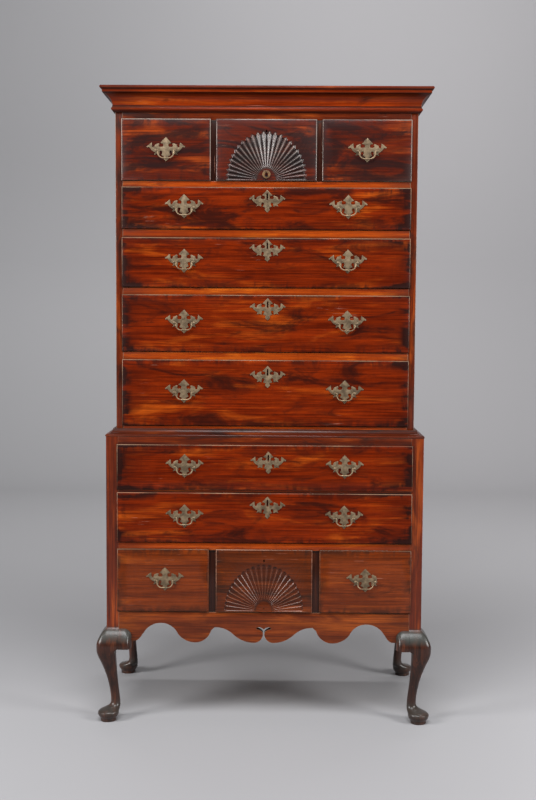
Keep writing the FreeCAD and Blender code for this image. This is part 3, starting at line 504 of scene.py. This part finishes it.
def solids_of(node):
    """A copy of a node, and its faces in groups, one for each solid in it."""
    bm = bmesh.new()
    bm.from_mesh(frame["nodes"][node].data)
    bm.faces.layers.float.new("board")
    bm.faces.layers.float.new("worn_and_highlit")
    same = bmesh.ops.find_doubles(bm, verts=bm.verts[:], dist=SAME_SPOT)["targetmap"]
    by_edge = {}
    for face in bm.faces:
        for edge in face.edges:
            key = frozenset(same.get(vert, vert) for vert in edge.verts)
            by_edge.setdefault(key, []).append(face)
    neighbours = {face: [] for face in bm.faces}
    for faces in by_edge.values():
        for one, other in zip(faces[::2], faces[1::2]):
            neighbours[one].append(other)
            neighbours[other].append(one)
    groups, done = [], set()
    for face in bm.faces:
        if face in done:
            continue
        done.add(face)
        group = [face]
        for member in group:
            fresh = [other for other in neighbours[member] if other not in done]
            done.update(fresh)
            group.extend(fresh)
        groups.append(group)
    return bm, groups


def span(faces):
    """The lowest and highest corner of some faces."""
    spots = [vert.co for face in faces for vert in face.verts]
    return (Vector([min(spot[axis] for spot in spots) for axis in range(3)]),
            Vector([max(spot[axis] for spot in spots) for axis in range(3)]))


def eased(node, finishes, choose, width, worn_and_highlit):
    """A node's solids with their edges eased, each in the finish that choose gives it.

    width is how wide the eased edges are in millimetres, and worn how rubbed they look.
    """
    bm, groups = solids_of(node)
    draw = random.Random(node)
    board = bm.faces.layers.float["board"]
    for group in groups:
        low, high = span(group)
        number, index = draw.random(), choose(low, high)
        for face in group:
            face[board] = number
            face.material_index = index
    for corners in [{vert for face in group for vert in face.verts} for group in groups]:
        bmesh.ops.remove_doubles(bm, verts=[vert for vert in corners if vert.is_valid],
                                 dist=SAME_SPOT)
    bmesh.ops.dissolve_limit(bm, angle_limit=math.radians(0.6), verts=bm.verts[:],
                             edges=bm.edges[:], delimit={"NORMAL"})
    corners = [edge for edge in bm.edges
               if len(edge.link_faces) == 2 and edge.calc_face_angle(0) > SHARP]
    rounded = bmesh.ops.bevel(bm, geom=corners, offset=width * MM, offset_type="OFFSET",
                              segments=2, profile=0.5, affect="EDGES", material=-1,
                              clamp_overlap=True)
    marked(bm, "worn_and_highlit", rounded["faces"], worn_and_highlit)
    return shown(bm, f"{node}.eased", finishes, node)


def longest(low, high):
    """The axis along which a solid is longest, which is the way its grain runs."""
    size = high - low
    return max(range(3), key=lambda axis: size[axis])


# ---------------------------------------------------------------- case boards, rails, mouldings

# in the lists of woods for the cases, the bare ones follow the three varnished ones, and the
# wood over the top drawers follows those
BARE = 3
OVER_TOP_DRAWERS = 6
# back boards lie behind this plane, and the upper case's bottom is thinner than the first of the
# next two and lower than the second
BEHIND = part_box("upper_case_boards")[1].y - 20 * MM
FLOOR_BOARD = 16 * MM
UPPER_MIDDLE = 1.0


def case_board(low, high):
    """Sides and top are varnished; the boards behind and below are bare."""
    below = high.z - low.z < FLOOR_BOARD and low.z < UPPER_MIDDLE
    return longest(low, high) + (BARE if low.y > BEHIND or below else 0)


def lower_board(low, high):
    """The lower sides have their grain from front to back, and the back is bare."""
    return BARE if low.y > BEHIND else 1


TOP_DRAWERS = ("upper_fan", "lower_first")
NEAR_LIP = 10 * MM


def rail_or_runner(low, high):
    """What shows between the drawers is varnished, and what carries them is bare.

    The rail over each case's top drawers is darker than the others.
    """
    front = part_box("upper_rails_and_runners")[0].y
    if low.y > front + 1 * MM:
        return BARE + longest(low, high)
    lips = (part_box(f"{drawer}_front")[1].z for drawer in TOP_DRAWERS)
    over = any(abs(low.z - lip) < NEAR_LIP for lip in lips)
    return OVER_TOP_DRAWERS if over else longest(low, high)


# half the width of the skirt's cut-out, and how far over the skirt's foot it starts
CUT_OUT_HALF = 24 * MM
CUT_OUT_RISE = 30 * MM


def darkened(skirt):
    """Paints shadow on the walls of the cut-out in the skirt's middle."""
    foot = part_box("skirt")[0].z
    # a painted shadow mark
    dirt = skirt.data.attributes.new("sunk_shade", "FLOAT", "FACE")
    for face in skirt.data.polygons:
        inside = abs(face.center.x) < CUT_OUT_HALF and face.center.z > foot + CUT_OUT_RISE
        if inside and abs(face.normal.y) < 0.7:
            dirt.data[face.index].value = 1


eased("upper_case_boards", case_wood + pine, case_board, 1.2, worn_and_highlit=0.6)
eased("lower_case_boards", case_wood + pine, lower_board, 1.0, worn_and_highlit=0.6)
for rails in ("upper_rails_and_runners", "lower_rails_and_runners"):
    eased(rails, rail_wood + pine + [frieze_wood], rail_or_runner, 0.6, worn_and_highlit=0.4)
darkened(eased("skirt", [skirt_wood], lambda low, high: 0, 0.8, worn_and_highlit=0.9))
eased("cornice_moulding", cornice_wood, longest, 0.7, worn_and_highlit=0.35)
eased("waist_moulding", waist_wood, longest, 0.7, worn_and_highlit=0.5)


# ---------------------------------------------------------------- drawer boxes

drawers = [name[:-len("_front")] for name in FRONTS]
for drawer in drawers:
    eased(f"{drawer}_box", pine, longest, 0.5, worn_and_highlit=0.0)


# ---------------------------------------------------------------- drawer fronts

# the lip's thickness, its square edge, the radius of its moulding and the break before the face
LIP = 6.5
LIP_EDGE = 1.6
THUMB = 4.2
EASE = 0.4
THUMB_STEPS = 6
# how far the block behind a lip stands in from its sides and its top
BLOCK_IN = 5
BLOCK_DOWN = 5.5


def thumb_steps():
    """The moulded edge, as (distance in from the lip's edge, distance out from its back)."""
    steps = [(0, 0), (0, LIP_EDGE)]
    for turn in range(1, THUMB_STEPS + 1):
        angle = math.pi / 2 * turn / THUMB_STEPS
        steps.append((THUMB * (1 - math.cos(angle)), LIP_EDGE + THUMB * math.sin(angle)))
    return steps + [(THUMB, LIP - EASE / 2), (THUMB + EASE, LIP)]


def lipped_block(bm, node, lap_below):
    """The block behind, the lip and its moulded edge, open at its face. Gives the face's edges."""
    low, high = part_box(node)
    lip_back = low.y + LIP * MM
    foot = 1.0 if lap_below else 0.5

    def ring(left, right, bottom, top, y):
        return [Vector((left, y, bottom)), Vector((right, y, bottom)),
                Vector((right, y, top)), Vector((left, y, top))]

    block = (low.x + BLOCK_IN * MM, high.x - BLOCK_IN * MM,
             low.z + (lap_below + 0.01) * MM, high.z - BLOCK_DOWN * MM)
    rings = [ring(*block, high.y), ring(*block, lip_back)]
    for inset, out in thumb_steps():
        inset *= MM
        rings.append(ring(low.x + inset, high.x - inset, low.z + inset * foot, high.z - inset,
                          lip_back - out * MM))
    return lofted(bm, rings, closed=False)


def framed(bm, edges, border):
    """Closes a face with a border inside its edges, so that marks can fade across it."""
    sheet = bmesh.ops.contextual_create(bm, geom=edges)["faces"]
    bmesh.ops.inset_region(bm, faces=sheet, thickness=border)
    return sheet


# how far a cutting bar stands out of the face it cuts
BAR_OUT = 12


def cutter(name, shape, spot, depth):
    """A bar with a shape for its section, that cuts the shape into a front as deep as told."""
    bm = bmesh.new()
    lofted(bm, [[spot + Vector((x, y, z)) * MM for x, z in shape] for y in (-BAR_OUT, depth)])
    bmesh.ops.recalc_face_normals(bm, faces=bm.faces[:])
    return placed(name, bm)


# a keyhole's head and half its slot, and how far a lock's middle lies under its keyhole's
KEY_HEAD = 2.4
KEY_SLOT = 1.9
LOCK_DROP = 6
KEY_TALL = 17
FAN_KEY_TALL = 8


def keyhole(height):
    """A keyhole's shape: a round head over a slot."""
    head = height / 2 - KEY_HEAD
    shape = [(KEY_HEAD * math.cos(angle), head + KEY_HEAD * math.sin(angle))
             for angle in (math.radians(turn) for turn in range(-40, 221, 20))]
    return shape + [(-KEY_SLOT, -height / 2), (KEY_SLOT, -height / 2)]


def circle(radius):
    """A round hole's shape, in sixteen sides."""
    return [(radius * math.cos(angle), radius * math.sin(angle))
            for angle in (2 * math.pi * turn / 16 for turn in range(16))]


def bored(piece, bar):
    """The piece with the bar's shape taken out, and the bar gone."""
    hole = piece.modifiers.new("hole", "BOOLEAN")
    hole.object = bar
    hole.operation = "DIFFERENCE"
    hole.solver = "EXACT"
    bpy.context.view_layer.update()
    scene_now = bpy.context.evaluated_depsgraph_get()
    cut = bpy.data.meshes.new_from_object(piece.evaluated_get(scene_now))
    piece.modifiers.clear()
    piece.data = cut
    bpy.data.objects.remove(bar)


def key_spot(drawer):
    """The middle of a drawer's keyhole, which lies a little over the middle of its lock."""
    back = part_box(f"{drawer}_front")[1].y
    bm, groups = solids_of(f"{drawer}_brasses")
    behind = [span(group) for group in groups]
    bm.free()
    low, high = max((pair for pair in behind if pair[0].y > back - 1 * MM),
                    key=lambda pair: (pair[1] - pair[0]).x)
    return Vector(((low.x + high.x) / 2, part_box(f"{drawer}_front")[0].y,
                   (low.z + high.z) / 2 + LOCK_DROP * MM))


# ---------------------------------------------------------------- carved fans

# the rays' deepest cut, how deep their ends lie, and where along a ray its end starts to round
CUT_DEPTH = 5.0
TIP_DEPTH = 2.4
TIP_START = 0.86


def fingers(side, share, width, upright):
    """Depth, painted shade and paler crests (partly wear, mostly painted highlight) of rounded rays
    with a cut between each two.

    side is 0 on a ray and 1 between two, share is 0 at the fan's middle and 1 at its edge, width
    is half a ray's width there in millimetres, and upright is 1 for a ray that stands straight.
    """
    end = 0.968 - 0.06 * side ** 1.2
    depth = min(CUT_DEPTH, 0.75 * width) * side ** 1.25
    # past a ray's tip: painted shade on the cut round it
    if share > end:
        past = min(1, (share - end) / 0.03)
        return TIP_DEPTH * (1 - past) ** 1.5, 0.75 * (1 - past), 0
    tip = max(0, (share - TIP_START) / (end - TIP_START))
    depth = max(depth, TIP_DEPTH * tip ** 3)
    # painted shade, darker deep in the cuts; paler crests, partly wear and mostly a painted
    # highlight, brighter towards the tips and on upright rays, where the light catches them
    dirt = 0.35 + 0.6 * max(0, (side - 0.2) / 0.8) ** 0.6
    wear_and_highlight = max(0, 1 - side / 0.42) * (0.3 + 0.3 * tip + 0.5 * upright ** 1.5)
    return depth, min(0.92, dirt) * (1 - 0.4 * wear_and_highlight), wear_and_highlight


# the hollows' greatest depth, half a ray's own width between two, and the length of their ends
HOLLOW_DEPTH = 3.2
CREST = 0.09
ROUND_END = 0.06


def hollows(side, share, width, upright):
    """The same three for thin rays between shallow hollows with round ends: depth, painted shade,
    and paler crests that are partly wear and mostly painted highlight.
    """
    end = 1 - 0.035 * (1 - side) ** 2
    if side < CREST:
        hollow = 0.3 * (side / CREST) ** 2
    else:
        hollow = 0.3 + 0.7 * math.sin(math.pi / 2 * min(1, (side - CREST) / (1 - CREST) * 1.4))
    run_out = min(1, max(0, (end - share) / ROUND_END))
    depth = min(HOLLOW_DEPTH, 0.4 * width) * hollow * math.sqrt(1 - (1 - run_out) ** 2)
    # painted shade on the hollows' round ends and, more on upright rays, in the hollows; paler
    # crests as a painted highlight, brighter on level rays
    edge = 0.85 * max(0, 1 - abs(run_out - 0.35) / 0.5) * side
    wear_and_highlight = 0.7 * max(0, 1 - side / 0.13) * min(1, run_out * 3) * (1 - 0.6 * upright)
    shade = (0.15 + 0.3 * upright) * hollow * min(1, run_out * 2)
    return depth, max(edge, shade), wear_and_highlight


# each fan's middle over its front's lower edge, its half width, height, hub, rays and their shape
FANS = {
    "upper_fan": (2.7, 119.5, 142.5, 27.5, 25, fingers),
    "lower_fan": (4.6, 117.0, 139.0, 24.4, 25, hollows),
}


# columns of the carving's grid to each ray, its rows, and how near the fan's middle it starts
RAY_COLUMNS = 14
FAN_ROWS = 60
FAN_START = 0.004
# over how much of the reach the rays begin, and how deep the hub's edge and the cut round it lie
RAYS_BEGIN = 0.05
HUB_EDGE = 1.6
HUB_CUT = 1.8


def fan(bm, middle, half, height, hub, rays, carving):
    """A carved half fan in the face, round a raised hub."""
    made = bmesh.ops.create_grid(bm, x_segments=rays * RAY_COLUMNS, y_segments=FAN_ROWS,
                                  size=0.5)["verts"]
    sunk_shade, worn_and_highlit = (bm.verts.layers.float[name] for name in ("sunk_shade", "worn_and_highlit"))
    for vert in made:
        across, share = vert.co.x + 0.5, FAN_START + (1 - FAN_START) * (vert.co.y + 0.5)
        angle = math.pi * across
        reach = half * height / math.hypot(height * math.cos(angle), half * math.sin(angle))
        start = (share - hub / half) / RAYS_BEGIN
        if start < 0:
            part = share * half / hub
            depth, look, wear_and_highlight = HUB_EDGE * part ** 2.5, 0.4 * part ** 8, 0
        else:
            side = 1 - abs(across * rays % 1 - 0.5) * 2
            depth, look, wear_and_highlight = carving(side, share, share * reach * math.pi / rays / 2,
                                        math.sin(angle))
            start = min(1, start)
            depth = depth * start + HUB_CUT * (1 - start)
            look = look * start + 0.7 * (1 - start)
        if across < 0.0001 or across > 0.9999 or share > 0.9999:
            depth, look = 0, 0
        # painted shade, also in the cut round the hub, and paler crests as painted highlight, left
        # on the corners for the finish
        vert[sunk_shade], vert[worn_and_highlit] = look, wear_and_highlight
        radius = share * reach
        vert.co = middle + Vector((-radius * MM * math.cos(angle), depth * MM,
                                   radius * MM * math.sin(angle)))
    bmesh.ops.remove_doubles(bm, verts=made, dist=0.003 * MM)


FRONT_FINISH = {
    "upper_first": first_front_wood,
    "upper_fan": fan_wood, "lower_fan": lower_fan_wood,
    "upper_small_left": small_front_wood, "upper_small_right": small_front_wood,
    "lower_small_left": low_front_wood, "lower_small_right": low_front_wood,
}
# border of a front, where its face darkens towards the edge
RIM = 42
# how deep behind the face the lip's paler edge lies, partly rubbed and partly a painted highlight,
# and how far down the top edge reaches
RUBBED_AND_LIT_FROM, RUBBED_AND_LIT_TO = 1, 2.2
TOP_EDGE = 6
HUB_HOLE_DEPTH = 6
KEYHOLE_DEPTH = 16
# the front whose lip laps over the rail below it, and by how much
LAPS_BELOW = {"lower_first": 8}


def front_piece(drawer):
    """A drawer's front: its block and moulded lip, and the fan and the holes where it has them."""
    node = f"{drawer}_front"
    low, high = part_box(node)
    bm = bmesh.new()
    bm.faces.layers.float.new("board")
    sunk_shade, worn_and_highlit, rim = (bm.verts.layers.float.new(name) for name in ("sunk_shade", "worn_and_highlit", "rim"))
    edges = lipped_block(bm, node, LAPS_BELOW.get(drawer, 0))
    in_top_row = drawer.startswith("upper") and ("small" in drawer or drawer in FANS)
    for vert in bm.verts:
        vert[rim] = 1
        # a paler line along the lip's moulded edge, partly wear and partly painted highlight:
        # strongest on the top lips, which the overhead light catches, then on the top row's side
        # lips, which the side lamps catch
        if low.y + RUBBED_AND_LIT_FROM * MM < vert.co.y < low.y + RUBBED_AND_LIT_TO * MM:
            on_top = vert.co.z > high.z - TOP_EDGE * MM
            vert[worn_and_highlit] = 0.8 if on_top else 0.5 if in_top_row else 0.12
    if drawer in FANS:
        foot, half, height, hub, rays, carving = FANS[drawer]
        fan(bm, Vector((0, low.y, low.z + foot * MM)), half, height, hub, rays, carving)
        bmesh.ops.triangle_fill(bm, edges=[edge for edge in bm.edges if len(edge.link_faces) == 1],
                                use_beauty=True, use_dissolve=False)
    else:
        for face in framed(bm, edges, RIM * MM):
            for vert in face.verts:
                vert[rim] = 0
    bmesh.ops.recalc_face_normals(bm, faces=bm.faces[:])
    marked(bm, "board", bm.faces, random.Random(drawer).random())
    piece = shown(bm, f"{node}.moulded", [FRONT_FINISH.get(drawer, front_wood)], node)
    if "small" not in drawer:
        shape = keyhole(FAN_KEY_TALL if drawer in FANS else KEY_TALL)
        bored(piece, cutter(f"{drawer}.keyhole", shape, key_spot(drawer), KEYHOLE_DEPTH))
    if drawer in HUB_HOLE:
        rise, radius = HUB_HOLE[drawer]
        spot = Vector((0, low.y, low.z + rise * MM))
        bored(piece, cutter(f"{drawer}.hole", circle(radius), spot, HUB_HOLE_DEPTH))


for drawer in drawers:
    front_piece(drawer)


# ---------------------------------------------------------------- legs and knee blocks

CASE_LOW, CASE_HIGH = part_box("lower_case_boards")
CASE_TOP = CASE_HIGH.z / MM
# how thick the corner posts are
POST = 35.5

# the leg's sections: height, reach out of the case, reach into it, and how square the outer
# corner and the other three are (2 is round)
LEG = [
    (CASE_TOP, 0, POST, 60, 60),
    (300, 0, POST, 60, 60),
    (280.5, 0, POST, 60, 60),
    (278.5, 1.5, POST, 20, 60),
    (274.5, 6.5, POST, 9, 60),
    (269, 11.8, POST, 6.6, 60),
    (261, 17.6, POST, 5.4, 60),
    (252, 22.8, POST, 4.8, 60),
    (242, 27.2, POST, 4.4, 60),
    (232, 29.3, POST, 4.1, 60),
    (223, 29.4, POST - 0.3, 3.9, 50),
    (220.5, 29.3, 32.5, 3.9, 24),
    (216, 28.9, 28.4, 3.8, 8),
    (208, 27.8, 26.6, 3.6, 5),
    (193, 23.2, 26.4, 3.5, 4.2),
    (176, 16.2, 27.2, 3.3, 3.7),
    (157, 9.6, 28.2, 3.1, 3.3),
    (135, 2.6, 29.2, 2.9, 2.9),
    (110, -3.2, 31.0, 2.6, 2.6),
    (85, -7.2, 33.6, 2.4, 2.4),
    (66, -8.9, 35.6, 2.2, 2.2),
    (54, -9.2, 36.5, 2.1, 2.1),
    (46, -7.0, 37.0, 2, 2),
    (40.5, -1.9, 37.0, 2, 2),
    (36.5, 6.6, 36.8, 2, 2),
    (33.5, 15.4, 36.0, 2, 2),
    (31, 22.0, 35.3, 2, 2),
    (28, 26.0, 34.7, 2, 2),
    (24.5, 27.4, 34.6, 2, 2),
    (21, 27.2, 34.4, 2, 2),
    (16, 25.2, 32.4, 2, 2),
    (11.5, 21.8, 29.0, 2, 2),
    (8.8, 19.8, 26.8, 2, 2),
    (8.0, 19.4, 26.4, 2, 2),
    (7.4, 19.6, 26.6, 2, 2),
    (1.0, 19.6, 26.6, 2, 2),
    (0.0, 19.0, 26.0, 2, 2),
]
# how many of the sections belong to the corner post, and the points in each
POST_SECTIONS = 3
AROUND = 40


def leg_ring(height, out, reach, outer, inner):
    """A section of the leg in its corner's own frame, where the outer corner is low in x and y."""
    middle, half = (reach - out) / 2, (reach + out) / 2
    ring = []
    for index in range(AROUND):
        angle = 2 * math.pi * index / AROUND
        cos, sin = math.cos(angle), math.sin(angle)
        square = outer if cos < 0 and sin < 0 else inner
        scale = half / (abs(cos) ** square + abs(sin) ** square) ** (1 / square)
        ring.append(Vector((middle + cos * scale, middle + sin * scale, height)))
    return ring


def smooth_sections():
    """The leg's sections with three more between each pair below the post, on a smooth curve."""
    sections, shaped = LEG[:POST_SECTIONS], LEG[POST_SECTIONS:]
    for index in range(len(shaped) - 1):
        before = shaped[max(index - 1, 0)]
        after = shaped[min(index + 2, len(shaped) - 1)]
        here, following = shaped[index], shaped[index + 1]
        sections.append(here)
        if here[0] - following[0] < 4 or index == 0:
            continue
        for part in (0.25, 0.5, 0.75):
            sections.append(tuple(curve(*values, part)
                                  for values in zip(before, here, following, after)))
    sections.append(shaped[-1])
    return sections


def curve(before, start, end, after, part):
    """A point on a smooth curve through four values."""
    return 0.5 * (2 * start + (end - before) * part
                  + (2 * before - 5 * start + 4 * end - after) * part ** 2
                  + (3 * start - before - 3 * end + after) * part ** 3)


# a knee block's length, the heights of its underside and of the knee's top, and the rounding of
# its brow and its end
BLOCK_LENGTH = 38
BLOCK_FOOT = 222
KNEE_TOP = 280
SHOULDER = 24
BLOCK_END = 12
BLOCK_STEPS = 24


def block_rings():
    """A knee block in the leg's frame: it carries the knee on beside the leg and rounds off."""
    knee = [(out, height) for height, out, *_ in smooth_sections()
            if BLOCK_FOOT + 1 < height < KNEE_TOP]
    brow = knee[0][1]
    rings = []
    for step in range(BLOCK_STEPS + 1):
        along = BLOCK_LENGTH * math.sin(math.pi / 2 * step / BLOCK_STEPS)
        short = min(1, (BLOCK_LENGTH - along) / BLOCK_END)
        full = max(0.05, math.sqrt(1 - (1 - short) ** 2))
        past = max(0, along - BLOCK_LENGTH + SHOULDER)
        top = brow - SHOULDER + math.sqrt(max(0, SHOULDER ** 2 - past ** 2))
        profile = [(0, brow)] + knee + [(knee[-1][0] - 0.6, BLOCK_FOOT + 0.3),
                                        (knee[-1][0] - 2, BLOCK_FOOT), (0, BLOCK_FOOT)]
        rings.append([Vector((POST + 0.1 + along, -out * full, BLOCK_FOOT + (height - BLOCK_FOOT)
                              * (top - BLOCK_FOOT) / (brow - BLOCK_FOOT)))
                      for out, height in profile])
    return rings


def corner_frame(turn, x, y):
    """The place of a leg's own frame, in millimetres, at a corner of the case."""
    return (Matrix.Translation((x * MM, y * MM, 0)) @ Matrix.Rotation(turn, 4, "Z")
            @ Matrix.Scale(MM, 4))


def legs():
    """Four legs and six knee blocks, as one piece for their node."""
    bm = bmesh.new()
    half, front, back = CASE_HIGH.x / MM, CASE_LOW.y / MM - POST, CASE_HIGH.y / MM
    swap = Matrix(((0, 1, 0, 0), (1, 0, 0, 0), (0, 0, 1, 0), (0, 0, 0, 1)))
    plain = Matrix.Identity(4)
    corners = [(-half, front, 0, (plain, swap)), (half, front, 90, (plain, swap)),
               (half, back, 180, (swap,)), (-half, back, 270, (plain,))]
    board = bm.faces.layers.float.new("board")
    draw = random.Random("legs")
    for x, y, turn, blocks in corners:
        place = corner_frame(math.radians(turn), x, y)
        rings = [[place @ spot for spot in leg_ring(*section)] for section in smooth_sections()]
        before = set(bm.faces)
        lofted(bm, rings)
        for shape in blocks:
            rings = [[place @ shape @ spot for spot in ring] for ring in block_rings()]
            lofted(bm, rings)
        number = draw.random()
        for face in set(bm.faces) - before:
            face[board] = number
    bmesh.ops.recalc_face_normals(bm, faces=bm.faces[:])
    shown(bm, "legs_and_knee_blocks.carved", [leg_wood], "legs_and_knee_blocks")


legs()


# ---------------------------------------------------------------- brasses

# what lies behind a front and is wider than this is a lock
LOCK_WIDTH = 30 * MM

for drawer in drawers:
    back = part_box(f"{drawer}_front")[1].y

    def metal(low, high, back=back):
        """Iron for the lock behind the front, and brass for the rest."""
        return 1 if low.y > back - 1 * MM and (high - low).x > LOCK_WIDTH else 0

    shine = ring_brass if drawer in FANS else plate_brass
    eased(f"{drawer}_brasses", [shine, lock_iron], metal, 0.28, worn_and_highlit=1.0)
for name, thing in frame["nodes"].items():
    if name.endswith("_bail"):
        thing.data.materials.clear()
        thing.data.materials.append(bail_brass)
        for face in thing.data.polygons:
            face.use_smooth = True


# ---------------------------------------------------------------- studio

# the sheet's front edge, where it starts to bend, the bend's radius, its height and half width
PAPER_FRONT = -3.0
PAPER_BEND = 4.2
PAPER_CURVE = 1.6
PAPER_TOP = 7.0
PAPER_HALF = 7.0
BEND_STEPS = 16


def paper():
    """A grey sheet that runs over the floor and curves up behind, with painted light and shade in
    its tone.
    """
    finish = Finish("studio paper")
    place = finish.add("ShaderNodeTexCoord", out=3)
    cloud = finish.spots(place, (0.8, 0.8, 0.8), 2.0, 0.5) * 0.2
    # painted light and shade: lighter towards the right, darker high up on the left, and darkest on
    # the floor just behind the chest on the left, where its shadow falls
    side = finish.step(finish.reach("x"), -1.6, 1.6, 0.0, 0.8)
    right = finish.step(finish.reach("x"), 0.2, 1.6, 0.0, 0.8)
    height = finish.reach("z")
    left_high = finish.blend(finish.step(height, 1.2, 2.6), tone(158, 157, 159),
                             tone(145, 144, 146))
    high = finish.blend(cloud + side, left_high, tone(161, 159, 161))
    near = finish.blend(cloud + right, tone(147, 146, 148), tone(167, 165, 167))
    depth = finish.reach("y")
    left_far = finish.blend(finish.step(depth, 0.8, 4.0), tone(137, 136, 138), tone(152, 151, 153))
    far = finish.blend(cloud + right, left_far, tone(160, 158, 160))
    low = finish.blend(finish.step(depth, 0.0, 0.7), near, far)
    colour = finish.blend(finish.step(height, 0.0, 1.2), low, high)
    finish.close(Base_Color=colour, Roughness=0.9)
    bm = bmesh.new()
    profile = [(PAPER_FRONT, 0.0), (PAPER_BEND, 0.0)]
    for turn in range(1, BEND_STEPS + 1):
        angle = math.pi / 2 * turn / BEND_STEPS
        profile.append((PAPER_BEND + PAPER_CURVE * math.sin(angle),
                        PAPER_CURVE * (1 - math.cos(angle))))
    profile += [(PAPER_BEND + PAPER_CURVE, PAPER_TOP)]
    spots = [bm.verts.new((-PAPER_HALF, y, z)) for y, z in profile]
    edges = [bm.edges.new(pair) for pair in zip(spots, spots[1:])]
    drawn = bmesh.ops.extrude_edge_only(bm, edges=edges)["geom"]
    bmesh.ops.translate(bm, vec=(2 * PAPER_HALF, 0, 0),
                        verts=[part for part in drawn if isinstance(part, bmesh.types.BMVert)])
    bmesh.ops.recalc_face_normals(bm, faces=bm.faces[:])
    for face in bm.faces:
        face.smooth = True
    sheet = placed("studio_paper", bm)
    sheet.data.materials.append(finish.material)


def lamp(name, spot, aim, size, power, warmth=(1, 1, 1)):
    """A soft lamp at a spot, turned to what it lights."""
    data = bpy.data.lights.new(name, "AREA")
    data.shape = "RECTANGLE"
    data.size, data.size_y = size
    data.energy = power
    data.color = warmth
    light = bpy.data.objects.new(name, data)
    light.location = spot
    light.rotation_euler = (Vector(aim) - Vector(spot)).to_track_quat("-Z", "Y").to_euler()
    bpy.context.scene.collection.objects.link(light)


def studio():
    """The paper, four soft lamps and a faint light from all round."""
    paper()
    lamp("left_softbox", (-3.3, -2.0, 2.1), (0, 0, 0.75), (1.3, 1.6), 155)
    lamp("right_softbox", (3.3, -2.0, 2.1), (0, 0, 0.75), (1.3, 1.6), 145)
    lamp("backdrop_softbox", (0.3, 1.8, 5.0), (0.3, 5.8, 1.6), (4.0, 0.8), 195)
    lamp("overhead_softbox", (-0.2, -2.4, 4.6), (0, -0.1, 0.6), (2.6, 1.6), 185,
         (0.96, 0.98, 1.0))
    world = bpy.data.worlds.new("studio")
    world.use_nodes = True
    all_round = world.node_tree.nodes["Background"]
    all_round.inputs["Color"].default_value = (0.9, 0.95, 1.0, 1)
    all_round.inputs["Strength"].default_value = 0.08
    bpy.context.scene.world = world


CAMERA_SPOT = (0.04298, -3.72092, 1.22865)
# pitch, yaw and roll
CAMERA_TURN = (0.0769975, 0.0098149, 0.0060726)
LENS = 53.9
SENSOR_WIDTH = 36


def camera():
    """The view from the front, a little to the right and from chest height."""
    pitch, yaw, roll = CAMERA_TURN
    right = Vector((math.cos(yaw), math.sin(yaw), 0))
    ahead = Vector((-math.sin(yaw) * math.cos(pitch), math.cos(yaw) * math.cos(pitch),
                    -math.sin(pitch)))
    up = right.cross(ahead)
    across = math.cos(roll) * right + math.sin(roll) * up
    above = -math.sin(roll) * right + math.cos(roll) * up
    data = bpy.data.cameras.new("camera")
    data.lens = LENS
    data.sensor_width = SENSOR_WIDTH
    view = bpy.data.objects.new("camera", data)
    turn = Matrix((across, above, -ahead)).transposed()
    view.matrix_world = Matrix.Translation(CAMERA_SPOT) @ turn.to_4x4()
    bpy.context.scene.collection.objects.link(view)
    bpy.context.scene.camera = view


studio()
camera()
bpy.context.scene.view_settings.view_transform = "Standard"
